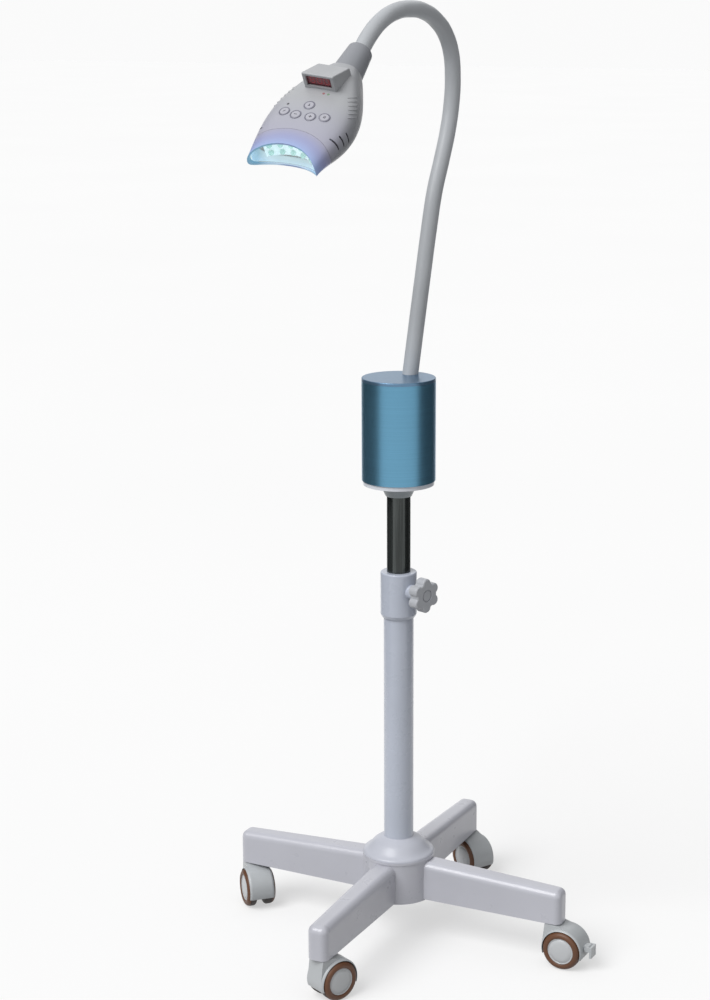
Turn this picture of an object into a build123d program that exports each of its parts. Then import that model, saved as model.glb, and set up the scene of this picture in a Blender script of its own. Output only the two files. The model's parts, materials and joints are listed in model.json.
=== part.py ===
from build123d import *
from functools import lru_cache
from math import cos, radians, sin, sqrt
import os

# Teeth whitening lamp on a rolling stand. Millimetres, Z up, origin on the column axis at floor level.
# The head looks along -Y, and the gooseneck lies in the YZ plane.

# Fits and clearances
run_gap = 0.05
slide_gap = 0.08
seat_gap = 0.1
part_gap = 0.3
over = 2.0

# Rolling base
stance_turn = 5.0
leg_count = 4
leg_names = ("right", "back", "left", "front")
wheel_radius = 25.0
leg_underside = 57.0
leg_reach = 231.0
leg_root_height = 52.0
leg_tip_height = 43.0
leg_root_width = 33.0
leg_tip_width = 27.0
leg_edge_radius = 9.0
leg_wall = 3.5
leg_root_block = 18.0
leg_tip_block = 30.0
hub_radius = 46.0
hub_bottom = 55.0
hub_top = 111.6
hub_wall = 5.0
hub_floor = 6.0
hub_boss_radius = 25.0
hub_lip = 0.8
hub_lip_height = 3.0
cover_height = 22.0
cover_wall = 2.5
cover_shoulder_rise_share = 0.2
cover_shoulder_inset_share = 0.13
cover_waist_rise_share = 0.64
bolt_radius = 4.0
bolt_head_radius = 6.5
bolt_head_height = 5.0
bolt_reach = 12.0

# Column, clamp and mast
column_radius = 19.0
column_wall = 2.0
column_top = 475.0
collar_radius = 23.0
collar_bottom = 430.0
collar_top = 489.0
collar_bevel = 4.0
collar_edge = 2.0
mast_radius = 15.0
mast_wall = 1.5
mast_bottom = 212.0
mast_socket_top = 618.0
guide_height = 16.0
guide_spigot_height = 14.0
knob_azimuth = -14.0
knob_height = 466.0
boss_radius = 9.5
boss_reach = 31.0
pad_radius = 5.0
pad_length = 4.9
screw_radius = 4.0
knob_lobes = 6
knob_radius = 22.0
knob_lobe_radius = 7.0
knob_core_radius = 17.0
knob_neck_radius = 9.0
knob_neck_length = 5.0
knob_thickness = 14.0
knob_edge = 2.2
knob_cap_radius = 8.0
knob_cap_recess = 1.6

# Power housing
housing_radius = 46.0
housing_wall = 2.0
housing_bottom = 607.6
housing_top = 736.8
lid_thickness = 4.0
lid_edge = 1.2
lid_spigot = 6.0
lid_spigot_wall = 4.0
ring_radius = 44.5
ring_thickness = 5.4
ring_spigot = 5.5
flange_low_radius = 16.6
flange_cone_radius = 23.5
flange_cone_height = 15.0
flange_spigot_radius = 18.5
flange_spigot_height = 22.0
cable_hole_radius = 6.0
supply_width = 48.0
supply_depth = 34.0
supply_height = 62.0
supply_edge = 2.0
supply_fin = 2.0
supply_fin_height = 4.0
supply_fin_count = 7
inlet_radius_at = 32.0
inlet_width = 38.0
inlet_depth = 13.0
inlet_lip = 1.2
inlet_lip_height = 1.0
inlet_height = 21.0
socket_width = 16.0
socket_depth = 8.5
socket_cut = 13.0
socket_offset = -7.5
pin_radius = 1.2
pin_spacing = 8.6
pin_length = 9.0
rocker_offset = 10.5
rocker_radius = 5.0
rocker_length = 8.5
rocker_stand = 1.6
rocker_pivot_radius = 1.2
rocker_pivot_length = 0.7
rocker_tilt = 8.0

# Gooseneck
neck_radius = 10.0
neck_bore = 3.5
ball_radius = 9.9
cup_neck_radius = 8.6
cup_groove_radius = 11.6
neck_boss_radius = 14.0
neck_boss_depth = 20.0
neck_tail = 22.0
hinge_reaches = (38.0, 150.0, 265.0, 375.0, 470.0, 570.0)
# The neck's centre line from the lid to the head, as places (y, z) on the YZ plane
neck_route = (
    (28.3, housing_top), (43.0, 795.0), (58.5, 855.0), (73.5, 912.0), (87.5, 958.0), (105.0, 996.0),
    (120.0, 1031.0), (129.5, 1066.0), (131.8, 1096.0), (127.5, 1124.0), (113.5, 1147.0), (91.0, 1163.5),
    (60.0, 1174.8), (26.0, 1177.8), (-9.0, 1174.3), (-41.5, 1163.3), (-67.0, 1147.2),
)
neck_end = (-86.0, 1130.0)
head_pitch = 41.0
head_roll = -9.5
spindle_radius = 8.0
spindle_length = 20.0
cuff_mouth = 4.0
retainer_radius = 11.5
retainer_thickness = 6.0

# Head, in its own frame: X across, -Y towards the mouth, Z out of the keypad
cuff_length = 40.5
cuff_rear_radius = 15.0
cuff_front_radius = 18.8
cuff_edge = 2.5
head_wall = 2.2
head_start = 41.0
head_fullness = 0.74
# Each section: reach from the neck's end, half width, top, bottom, level of the widest place
head_sections = (
    (head_start, 19.5, 19.5, -19.5, 0.0),
    (55.0, 26.5, 25.0, -23.5, 1.5),
    (72.0, 34.5, 29.0, -26.0, 4.0),
    (95.0, 44.0, 32.0, -26.5, 8.0),
    (125.0, 50.5, 34.5, -24.0, 12.0),
    (155.0, 50.5, 36.0, -15.5, 15.0),
    (182.0, 47.0, 36.6, -2.0, 18.0),
    (222.0, 42.0, 36.6, 6.0, 19.5),
)
split_level = 3.0
arch_centre = 242.0
arch_radius = 54.0
seam_radius = 77.0
window_radius = 57.0
window_thickness = 1.5
led_board_radius = 64.0
led_board_thickness = 1.6
led_board_half_width = 32.0
led_board_low = 9.0
led_board_high = 31.0
led_columns = 5
led_rows = 2
led_spread = 48.0
led_radius = 3.2
led_base_height = 1.2
led_low_row = 14.5
led_row_pitch = 11.0
sink_plate = 3.0
sink_depth = 15.0
sink_fin = 2.4
sink_gap = 4.0
slot_count = 3
slot_width = 2.2
slot_height = 15.5
slot_first_reach = 165.0
slot_reach_pitch = 10.5
slot_first_level = 22.5
slot_level_pitch = 4.8

# Keypad and display
button_radius = 5.1
button_flange_radius = 6.2
button_flange_height = 1.4
button_stand = 0.8
button_bottom = 27.0
button_travel = 0.6
button_fit = 0.1
# Keypad places as (across, reach)
button_places = ((-25.0, 139.6), (-9.1, 142.8), (9.1, 142.8), (25.0, 139.6), (0.0, 125.6))
board_level = 21.0
board_thickness = 1.6
board_start = 88.0
board_end = 152.0
board_half_width = 30.0
board_post_radius = 2.6
board_post_inset = 6.0
board_post_half = 14.0
board_post_reach = 131.0
switch_radius = 3.0
hood_front = 97.5
hood_back = 60.0
hood_half_width = 20.0
hood_top = 53.0
hood_rear_top = 33.0
hood_lean = 1.5
hood_wall = 2.2
hood_edge = 1.6
hood_base = 24.0
display_half_width = 15.7
display_low = 35.0
display_high = 49.0
display_thickness = 1.5
lamp_radius = 1.6
lamp_places = ((7.2, 103.3), (12.9, 103.3), (-26.5, 127.0))

# Cooling fan
fan_reach = 82.0
fan_side = 35.0
fan_level = -19.0
fan_height = 9.0
fan_bore = 15.8
fan_rotor_radius = 15.2
fan_hub_radius = 6.0
fan_blades = 7
fan_blade_thickness = 1.2
fan_blade_lean = 35.0
fan_shaft_radius = 1.5
fan_floor = 1.6
fan_spoke = 2.4
fan_spoke_count = 3
fan_post_radius = 2.6
fan_post_inset = 3.2
grille_slots = 5
grille_slot_length = 26.0
grille_slot_width = 2.4
grille_pitch = 5.0

# Casters
stem_reach = 218.0
caster_trail = 17.0
caster_turns = (-2.0, -120.0, 134.5, 155.0)
stem_radius = 4.0
stem_bottom = 31.0
stem_grip = 28.0
stem_washer_radius = 7.0
stem_washer_height = 0.6
hood_gap = 0.3
web_half = 5.4
fender_half = 17.4
fender_radius = 27.6
fender_clear = 0.8
fender_floor = 17.0
fender_edge = 4.0
fork_boss_radius = 7.0
axle_radius = 3.0
wheel_inner = 5.75
wheel_outer = 19.5
tyre_inner_radius = 17.0
tyre_edge = 2.4
wheel_cap_dome = 1.2
brake_lug_reach = 31.4
brake_lug_height = 30.0
brake_pin_radius = 1.6
brake_ear = 2.0
brake_lug_radius = 3.2
brake_tab_length = 11.0
brake_tab_thickness = 3.0


def turned(shape, angle):
    """Turns a shape about the column axis."""
    return Rot(0, 0, angle) * shape


def rod(radius, low, high):
    """A cylinder on the Z axis between two levels."""
    return Pos(0, 0, low) * Cylinder(radius, high - low, align=(Align.CENTER, Align.CENTER, Align.MIN))


def tube(outer, inner, low, high):
    return rod(outer, low, high) - rod(inner, low - over, high + over)


def block(low, high):
    """A box between two opposite corners."""
    size = [b - a for a, b in zip(low, high)]
    middle = [(a + b) / 2 for a, b in zip(low, high)]
    return Pos(*middle) * Box(*size)


def leg_angle(index):
    return stance_turn + index * 360 / leg_count


# Base

def leg_blank(shrink, start, end, drop):
    """Tapered leg body along +X; shrink thins it on the sides and the top."""
    def section(reach):
        share = reach / leg_reach
        width = leg_root_width + (leg_tip_width - leg_root_width) * share - 2 * shrink
        height = leg_root_height + (leg_tip_height - leg_root_height) * share - shrink + drop
        middle = leg_underside - drop + height / 2
        return Plane(origin=(reach, 0, middle), x_dir=(0, 1, 0), z_dir=(1, 0, 0)) * Rectangle(width, height)
    return loft([section(start), section(end)], ruled=True)


def make_leg(index):
    start = hub_radius - hub_wall
    body = leg_blank(0, start, leg_reach, 0)
    rounded = [e for e in body.edges() if e.center().Z > leg_underside + leg_edge_radius
               and e.center().X > start + leg_edge_radius]
    body = fillet(rounded, leg_edge_radius)
    body -= rod(hub_radius + seat_gap, 0, hub_top * 2)
    pocket = leg_blank(leg_wall, hub_radius + leg_root_block, leg_reach - leg_tip_block, over)
    body -= pocket
    body -= Pos(stem_reach, 0, 0) * rod(stem_radius, 0, leg_underside + stem_grip)
    body -= bolt_shank(bolt_radius, hub_radius + bolt_reach)
    return turned(body, leg_angle(index))


def bolt_shank(radius, reach):
    height = leg_underside + leg_root_height / 2
    return Pos(0, 0, height) * (Rot(0, 90, 0) * rod(radius, hub_radius - hub_wall - over, reach))


def make_leg_bolts():
    height = leg_underside + leg_root_height / 2
    inner = hub_radius - hub_wall
    head_face = sqrt(inner ** 2 - bolt_head_radius ** 2) - seat_gap
    bolt = extrude_hex(bolt_head_radius, head_face - bolt_head_height, head_face)
    bolt += rod(bolt_radius - run_gap, head_face - bolt_head_height, hub_radius + bolt_reach - part_gap)
    bolts = [turned(Pos(0, 0, height) * Rot(0, 90, 0) * bolt, leg_angle(i)) for i in range(leg_count)]
    column_head = extrude_hex(bolt_head_radius, hub_bottom - bolt_head_height, hub_bottom - seat_gap)
    shank_top = hub_bottom + hub_floor + bolt_reach
    column_shank = rod(bolt_radius - run_gap, hub_bottom - bolt_head_height, shank_top)
    bolts.append(column_head + column_shank)
    return Compound(children=bolts)


def extrude_hex(radius, low, high):
    return extrude(Plane.XY.offset(low) * RegularPolygon(radius, 6), high - low)


def make_hub():
    body = rod(hub_radius, hub_bottom, hub_top)
    body += rod(hub_radius + hub_lip, hub_top - hub_lip_height, hub_top)
    pocket_top = hub_top - hub_floor
    body -= tube(hub_radius - hub_wall, hub_boss_radius, hub_bottom - over, pocket_top)
    body -= rod(column_radius + seat_gap, hub_bottom + hub_floor, hub_top + over)
    body -= rod(bolt_radius, hub_bottom - over, hub_top)
    for i in range(leg_count):
        body -= turned(bolt_shank(bolt_radius, hub_radius + over), leg_angle(i))
    return body


def make_hub_cover():
    """Domed cover that carries the eye from the hub's rim up to the column."""
    def dome(shrink):
        rim = hub_radius - shrink
        neck = column_radius + seat_gap
        foot = hub_top + seat_gap
        rise = cover_height - shrink
        shoulder = (rim - (rim - neck) * cover_shoulder_inset_share, foot + rise * cover_shoulder_rise_share)
        waist = ((rim + neck) / 2, foot + rise * cover_waist_rise_share)
        with BuildSketch(Plane.XZ) as profile:
            with BuildLine():
                Spline((rim, foot), shoulder, waist, (neck, foot + rise), tangents=[(0, 1), (-2, 1)])
                Polyline((neck, foot + rise), (neck, foot), (rim, foot))
            make_face()
        return revolve(profile.sketch, Axis.Z)
    cavity = dome(cover_wall) - rod(column_radius + cover_wall, 0, housing_top)
    return dome(0) - cavity


# Casters

def caster_place(index):
    """Where a caster's own frame, stem on Z and trail along +X, stands under its leg."""
    return Rot(0, 0, leg_angle(index)) * Pos(stem_reach, 0, 0) * Rot(0, 0, caster_turns[index])


def across(shape_radius, low, high, reach=caster_trail, level=wheel_radius):
    """A cylinder along Y in a caster's frame."""
    return Pos(reach, 0, level) * (Rot(-90, 0, 0) * rod(shape_radius, low, high))


def make_caster_fork(index, with_brake):
    top = leg_underside - stem_washer_height - hood_gap
    with BuildSketch(Plane.XZ) as profile:
        with BuildLine():
            circle = CenterArc((caster_trail, wheel_radius), fender_radius, 0, 360)
        make_face()
        with BuildSketch(Plane.XZ, mode=Mode.PRIVATE) as neck_profile:
            with Locations(((0, (top + wheel_radius) / 2))):
                Rectangle(2 * fork_boss_radius, top - wheel_radius)
        add(neck_profile.sketch)
        make_hull(mode=Mode.REPLACE)
    drum = across(fender_radius, -fender_half, fender_half)
    drum = fillet(drum.edges().filter_by(GeomType.CIRCLE), fender_edge)
    body = extrude(profile.sketch, fender_half - fender_edge, both=True) + drum
    for side in (1, -1):
        inner, outer = sorted((side * web_half, side * (fender_half + over)))
        body -= across(wheel_radius + fender_clear, inner, outer)
    body -= block((-leg_reach, -leg_reach, -leg_reach), (leg_reach, leg_reach, fender_floor))
    body -= rod(stem_radius + run_gap, stem_bottom - part_gap, leg_underside)
    axle_half = wheel_outer - 2 * wheel_cap_dome - part_gap
    body += across(axle_radius, -axle_half, axle_half)
    if with_brake:
        reach = caster_trail + brake_lug_reach
        inside = caster_trail + fender_radius - brake_ear
        low, high = brake_lug_height - brake_lug_radius, brake_lug_height + brake_lug_radius
        body += across(brake_lug_radius, -web_half, web_half, reach, brake_lug_height)
        body += block((inside, -web_half, low), (reach, web_half, high))
        hole = across(brake_pin_radius + run_gap, -fender_half, fender_half, reach, brake_lug_height)
        body -= hole - across(wheel_radius + fender_clear, -fender_half, fender_half)
    return caster_place(index) * body


def make_brake_lever(index):
    reach = caster_trail + brake_lug_reach
    inner = web_half + part_gap
    lever = across(brake_pin_radius, -inner - brake_ear / 2, inner + brake_ear / 2, reach, brake_lug_height)
    for side in (1, -1):
        low, high = sorted((side * inner, side * (inner + brake_ear)))
        ear = across(brake_lug_radius, low, high, reach, brake_lug_height)
        arm = block((reach, low, brake_lug_height - brake_lug_radius),
                    (reach + brake_lug_radius + brake_ear, high, brake_lug_height + brake_lug_radius))
        lever += ear + arm
    hinge = Pos(reach, 0, brake_lug_height)
    tab = block((brake_lug_radius + part_gap, -inner - brake_ear, -brake_tab_length),
                (brake_lug_radius + part_gap + brake_tab_thickness, inner + brake_ear, brake_lug_radius))
    lever += hinge * tab
    return caster_place(index) * lever


def make_wheel(index, side):
    """One twin wheel: a soft tyre around a domed cap."""
    width = wheel_outer - wheel_inner
    tyre = tube(wheel_radius, tyre_inner_radius, 0, width)
    rims = [e for e in tyre.edges().filter_by(GeomType.CIRCLE) if abs(e.radius - wheel_radius) < run_gap]
    tyre = fillet(rims, tyre_edge)
    with BuildSketch(Plane.XZ) as profile:
        with BuildLine():
            Polyline((tyre_inner_radius, width - wheel_cap_dome), (tyre_inner_radius, wheel_cap_dome),
                     (axle_radius + run_gap, wheel_cap_dome),
                     (axle_radius + run_gap, width - 2 * wheel_cap_dome), (0, width - 2 * wheel_cap_dome),
                     (0, width))
            ThreePointArc((0, width), (tyre_inner_radius / 2, width - wheel_cap_dome / 4),
                          (tyre_inner_radius, width - wheel_cap_dome))
        make_face()
    cap = revolve(profile.sketch, Axis.Z)
    place = Pos(caster_trail, 0, wheel_radius) * Rot(-90 * side, 0, 0) * Pos(0, 0, wheel_inner)
    return caster_place(index) * Compound(children=[place * tyre, place * cap])


def make_caster_stems():
    stems = []
    for i in range(leg_count):
        stem = rod(stem_radius - run_gap / 2, stem_bottom, leg_underside + stem_grip - part_gap)
        stem += rod(stem_washer_radius, leg_underside - stem_washer_height, leg_underside - seat_gap)
        stems.append(caster_place(i) * stem)
    return Compound(children=stems)


# Column, clamp and mast

def make_column():
    foot = hub_bottom + hub_floor + seat_gap
    body = tube(column_radius, column_radius - column_wall, foot, column_top)
    plug = rod(column_radius - column_wall, foot, foot + bolt_reach) - rod(bolt_radius, 0, column_top)
    body += plug
    return body - knob_axis() * rod(pad_radius + slide_gap, 0, collar_radius)


def knob_axis():
    """Frame of the clamp: Z runs out of the column through the knob."""
    return Rot(0, 0, knob_azimuth) * Pos(0, 0, knob_height) * Rot(0, 90, 0)


def make_collar():
    body = rod(collar_radius, collar_bottom, collar_top)
    body = chamfer(body.edges().sort_by(Axis.Z)[0], collar_bevel, collar_bevel / 2)
    body = fillet(body.edges().sort_by(Axis.Z)[-1], collar_edge)
    body += knob_axis() * rod(boss_radius, 0, boss_reach)
    body -= rod(column_radius + seat_gap, collar_bottom - over, column_top + seat_gap)
    body -= rod(mast_radius + slide_gap, column_top, collar_top + over)
    body -= knob_axis() * rod(pad_radius + slide_gap, 0, collar_radius)
    return body - knob_axis() * rod(screw_radius + slide_gap, 0, boss_reach + over)


def pad_start():
    return mast_radius + run_gap


def make_clamp_pad():
    return knob_axis() * rod(pad_radius, pad_start(), pad_start() + pad_length)


def make_knob():
    """Star knob with its clamp screw."""
    screw_tip = pad_start() + pad_length + seat_gap
    base = boss_reach + part_gap
    lobed_low = base + knob_neck_length
    lobed_high = lobed_low + knob_thickness
    lobe_at = knob_radius - knob_lobe_radius
    with BuildSketch(Plane.XY.offset(lobed_low)) as star:
        Circle(knob_core_radius)
        with PolarLocations(lobe_at, knob_lobes):
            Circle(knob_lobe_radius)
    head = extrude(star.sketch, knob_thickness)
    head = fillet(head.edges().group_by(Axis.Z)[-1] + head.edges().group_by(Axis.Z)[0], knob_edge)
    head -= rod(knob_cap_radius, lobed_high - knob_cap_recess, lobed_high + over)
    cap_edge = knob_cap_radius - knob_cap_recess
    head += rod(cap_edge, lobed_high - 2 * knob_cap_recess, lobed_high - knob_cap_recess / 2)
    neck = loft([Plane.XY.offset(base) * Circle(knob_neck_radius),
                 Plane.XY.offset(lobed_low + knob_edge) * Circle(knob_core_radius - knob_edge)])
    return knob_axis() * (head + neck + rod(screw_radius, screw_tip, lobed_low))


def make_guide_plug():
    body = rod(column_radius - column_wall - slide_gap, mast_bottom - guide_height, mast_bottom - seat_gap)
    return body + rod(mast_radius - mast_wall - run_gap, mast_bottom - guide_height,
                      mast_bottom + guide_spigot_height)


def make_mast():
    return tube(mast_radius, mast_radius - mast_wall, mast_bottom, mast_socket_top)


# Power housing

def ring_bottom():
    return housing_bottom - seat_gap - ring_thickness


def make_flange():
    cone_top = ring_bottom() - seat_gap
    cone = Pos(0, 0, cone_top - flange_cone_height) * Cone(
        flange_low_radius, flange_cone_radius, flange_cone_height,
        align=(Align.CENTER, Align.CENTER, Align.MIN))
    spigot_top = cone_top + flange_spigot_height
    body = cone + rod(flange_spigot_radius, cone_top - over, spigot_top)
    body -= rod(mast_radius + seat_gap, 0, mast_socket_top + seat_gap)
    return body - rod(cable_hole_radius, 0, spigot_top + over)


def inlet_block(margin, low, high):
    return block((-inlet_width / 2 + margin, inlet_radius_at - inlet_depth / 2 + margin, low),
                 (inlet_width / 2 - margin, inlet_radius_at + inlet_depth / 2 - margin, high))


def make_base_ring():
    low = ring_bottom()
    high = low + ring_thickness
    body = rod(ring_radius, low, high)
    spigot = housing_radius - housing_wall - seat_gap
    body += tube(spigot, spigot - housing_wall, high - over, high + ring_spigot)
    body -= rod(flange_spigot_radius + seat_gap, low - over, high + over)
    return body - inlet_block(inlet_lip, low - over, high + ring_spigot + over)


def make_shell():
    return tube(housing_radius, housing_radius - housing_wall, housing_bottom, lid_bottom() - seat_gap)


def lid_bottom():
    return housing_top - lid_thickness


def make_lid():
    body = rod(housing_radius, lid_bottom(), housing_top)
    body = fillet(body.edges().sort_by(Axis.Z)[-1], lid_edge)
    spigot = housing_radius - housing_wall - seat_gap
    body += tube(spigot, spigot - lid_spigot_wall, lid_bottom() - lid_spigot, lid_bottom() + over / 2)
    boss = neck_root_plane() * rod(neck_boss_radius, -neck_boss_depth, neck_boss_radius)
    body += boss - block((-housing_radius, -housing_radius, housing_top - lid_edge),
                         (housing_radius, housing_radius, housing_top + 2 * housing_radius))
    hole = rod(neck_radius + seat_gap, -neck_boss_depth - over, 2 * neck_boss_radius)
    return body - neck_root_plane() * hole


def make_power_supply():
    low = ring_bottom() + flange_spigot_height
    corner = (supply_width / 2, supply_depth / 2, low + supply_height)
    body = block((-supply_width / 2, -supply_depth / 2, low), corner)
    body = fillet(body.edges().filter_by(Axis.Z), supply_edge)
    pitch = supply_width / supply_fin_count
    for i in range(supply_fin_count):
        middle = -supply_width / 2 + (i + 1 / 2) * pitch
        root = -supply_depth / 2
        fin_top = low + supply_height - supply_edge
        body += block((middle - supply_fin / 2, root - supply_fin_height, low + supply_edge),
                      (middle + supply_fin / 2, root + supply_edge, fin_top))
    return body


def rocker_frame():
    """Rocker's pivot: Z of this frame runs along the pivot."""
    level = ring_bottom() - inlet_lip_height + rocker_radius - rocker_stand
    return Pos(rocker_offset, inlet_radius_at, level) * Rot(-90, 0, 0)


def make_inlet():
    low = ring_bottom() - inlet_lip_height
    lip_top = ring_bottom() - seat_gap
    body = inlet_block(0, low, lip_top) + inlet_block(inlet_lip + seat_gap, low, low + inlet_height)
    socket = block((socket_offset - socket_width / 2, inlet_radius_at - socket_depth / 2, low - over),
                   (socket_offset + socket_width / 2, inlet_radius_at + socket_depth / 2, low + socket_cut))
    body -= socket
    for side in (1, -1):
        x = socket_offset + side * pin_spacing / 2
        pin = rod(pin_radius, low + socket_cut - pin_length, low + socket_cut + over)
        body += Pos(x, inlet_radius_at, 0) * pin
    pocket = rocker_radius + part_gap
    half = rocker_length / 2 + part_gap
    body -= block((rocker_offset - pocket, inlet_radius_at - half, low - over),
                  (rocker_offset + pocket, inlet_radius_at + half, low + 2 * rocker_radius))
    reach = rocker_length / 2 + rocker_pivot_length + part_gap
    return body - rocker_frame() * rod(rocker_pivot_radius + run_gap, -reach, reach)


def make_rocker():
    """Rocker switch: a drum whose face is cut to two shallow planes."""
    half = rocker_length / 2
    drum = rod(rocker_radius, -half, half)
    trim = rocker_radius * 2
    for side in (1, -1):
        face = Pos(0, rocker_radius + trim - rocker_stand / 2, 0) * Box(2 * trim, 2 * trim, trim)
        drum -= Rot(0, 0, side * rocker_tilt) * face
    reach = half + rocker_pivot_length
    drum += rod(rocker_pivot_radius, -reach, reach)
    return rocker_frame() * (Rot(0, 0, rocker_tilt) * drum)


# Gooseneck

def neck_points():
    return [Vector(0, y, z) for y, z in neck_route] + [Vector(0, *neck_end)]


def neck_path():
    """Smooth centre line from the lid to the head."""
    points = neck_points()
    start = (points[1] - points[0]).normalized()
    return Spline(*points, tangents=[start, head_forward()])


def head_forward():
    return Vector(0, -cos(radians(head_pitch)), -sin(radians(head_pitch)))


def neck_root_plane():
    path = neck_path()
    return Location(Plane(origin=path @ 0, x_dir=(1, 0, 0), z_dir=path % 0))


def hinge_share(index):
    return hinge_reaches[index] / neck_path().length


def neck_arc(index):
    """Centre line of one length of the neck, as one circular arc; length 0 starts at the lid."""
    path = neck_path()
    start = 0 if index == 0 else hinge_share(index - 1)
    if index == len(hinge_reaches):
        tip = TangentArc(path @ 1, path @ start, tangent=-head_forward())
        return ThreePointArc(path @ start, tip @ 0.5, path @ 1)
    end = hinge_share(index)
    return ThreePointArc(path @ start, path @ ((start + end) / 2), path @ end)


def along(line, share):
    """Frame on a line: Z runs along it, and X across the neck."""
    return Location(Plane(origin=line @ share, x_dir=(1, 0, 0), z_dir=line % share))


def arc_rod(arc, radius):
    """Round bar along an arc in the neck's plane."""
    centre = arc.arc_center
    swing = (arc @ 0 - centre).get_signed_angle(arc @ 1 - centre, Vector(1, 0, 0))
    return revolve(along(arc, 0) * Circle(radius), Axis(centre, (1, 0, 0)), swing)


def neck_length(index, with_ball, with_cup):
    """One length of the neck: a ball at its far end, and a cup with a thinned edge at its near end."""
    arc = neck_arc(index)
    body = arc_rod(arc, neck_radius)
    bore = arc_rod(arc, neck_bore)
    if with_ball:
        body += along(arc, 1) * Sphere(ball_radius)
        bore += along(arc, 1) * rod(neck_bore, 0, 2 * neck_radius)
    body -= bore
    if with_cup:
        core = rod(cup_neck_radius, -neck_radius, 2 * neck_radius)
        body -= along(arc, 0) * (Sphere(cup_groove_radius) - core)
        body -= along(arc, 0) * Sphere(ball_radius + run_gap)
    return body


def make_neck_root():
    body = neck_length(0, True, False)
    return body + along(neck_arc(0), 0) * tube(neck_radius, neck_bore, -neck_tail, 0)


def make_neck_link(index):
    if index < len(hinge_reaches):
        return neck_length(index, True, True)
    body = neck_length(index, False, True)
    start, end = cuff_mouth, cuff_mouth + spindle_length
    tail = rod(neck_radius, 0, start)
    tail += rod(spindle_radius, start, end)
    tail += rod(retainer_radius, end, end + retainer_thickness)
    tail -= rod(neck_bore, -over, end + retainer_thickness + over)
    return body + Location(Plane(origin=(0, *neck_end), x_dir=(1, 0, 0), z_dir=head_forward())) * tail


# Head

def head_place():
    """Where the head's own frame stands: pitched down, and rolled about the neck's end."""
    forward = head_forward()
    up = Vector(0, -sin(radians(head_pitch)), cos(radians(head_pitch)))
    side = Vector(1, 0, 0)
    roll = radians(head_roll)
    rolled_side = side * cos(roll) + up * sin(roll)
    rolled_up = up * cos(roll) - side * sin(roll)
    return Location(Plane(origin=(0, *neck_end), x_dir=rolled_side, z_dir=rolled_up))


def forward_frame(reach):
    """Frame on the head's long axis: Z points to the mouth."""
    return Pos(0, -reach, 0) * Rot(90, 0, 0)


def head_section(reach, half_width, top, bottom, level, grow):
    """A rounded section of four smooth quarter curves."""
    plane = Plane(origin=(0, -reach, level), x_dir=(1, 0, 0), z_dir=(0, -1, 0))
    wide = half_width + grow
    quarters = []
    for side, rise in ((1, 1), (-1, 1), (-1, -1), (1, -1)):
        high = (top - level if rise > 0 else level - bottom) + grow
        points = [
            (side * wide, 0),
            (side * wide, rise * high * head_fullness),
            (side * wide * head_fullness, rise * high),
            (0, rise * high),
        ]
        if side != rise:
            points.reverse()
        quarters.append(Bezier(*points))
    return plane * make_face(Wire(quarters))


@lru_cache
def head_form(grow=0.0):
    """The head's smooth outer form, grown or shrunk by an even amount."""
    return loft([head_section(*section, grow) for section in head_sections])


def arch(radius):
    """Upright cylinder about the centre of the mouth's curve."""
    return Pos(0, -arch_centre, 0) * rod(radius, -arch_centre, arch_centre)


def head_skin():
    inner = head_form(-head_wall)
    inner -= block((-arch_centre, -head_start - head_wall, -arch_centre), (arch_centre, 0, arch_centre))
    return head_form() - inner


def slot_cutter(index, side):
    reach = slot_first_reach - index * slot_reach_pitch
    level = slot_first_level - index * slot_level_pitch
    half_width = head_sections[-3][1]
    cutter = Box(half_width, slot_width, slot_height)
    cutter = fillet(cutter.edges().filter_by(Axis.X), slot_width / 2 - run_gap)
    return Pos(side * half_width, -reach, level) * cutter


def upper_half():
    return block((-arch_centre, -2 * arch_centre, split_level), (arch_centre, 0, arch_centre))


def post(x, reach, radius, low, high):
    return Pos(x, -reach, 0) * rod(radius, low, high)


def board_posts():
    """Places of the control board's posts, clear of the buttons."""
    for x in (-board_post_half, board_post_half):
        for reach in (board_start + board_post_inset, board_post_reach):
            yield x, reach


def make_top_shell():
    body = (head_skin() & upper_half()) - arch(seam_radius + part_gap)
    core = head_form(-head_wall / 2)
    post_foot = board_level + board_thickness + seat_gap
    for x, reach in board_posts():
        body += post(x, reach, board_post_radius, post_foot, arch_centre) & core
    for x, reach in button_places:
        body -= post(x, reach, button_radius + button_fit, board_level, arch_centre)
    for x, reach in lamp_places:
        body -= post(x, reach, lamp_radius + run_gap, board_level, arch_centre)
    for i in range(slot_count):
        for side in (1, -1):
            body -= slot_cutter(i, side)
    body -= forward_frame(0) * rod(spindle_radius, 0, head_start + 2 * head_wall)
    return head_place() * body


def make_bottom_shell():
    body = head_skin() - arch(seam_radius + part_gap)
    body -= block((-arch_centre, -2 * arch_centre, split_level - seat_gap), (arch_centre, 0, arch_centre))
    core = head_form(-head_wall / 2)
    inset = fan_side / 2 - fan_post_inset
    for x in (-inset, inset):
        for reach in (fan_reach - inset, fan_reach + inset):
            body += post(x, reach, fan_post_radius, -arch_centre, fan_level - seat_gap) & core
    for i in range(grille_slots):
        y = -fan_reach + (i - (grille_slots - 1) / 2) * grille_pitch
        cutter = Box(grille_slot_length, grille_slot_width, 2 * fan_height)
        above = block((-fan_side, y - fan_side, fan_level), (fan_side, y + fan_side, 0))
        body -= Pos(0, y, fan_level - fan_height) * cutter - above
    body -= forward_frame(0) * rod(spindle_radius, 0, head_start + 2 * head_wall)
    return head_place() * body


def make_bezel():
    body = head_form() - head_form(-head_wall)
    return head_place() * ((body & arch(seam_radius)) - arch(arch_radius))


def make_window():
    sheet = head_form(-head_wall - seat_gap) & arch(window_radius + window_thickness)
    return head_place() * (sheet - arch(window_radius))


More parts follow.
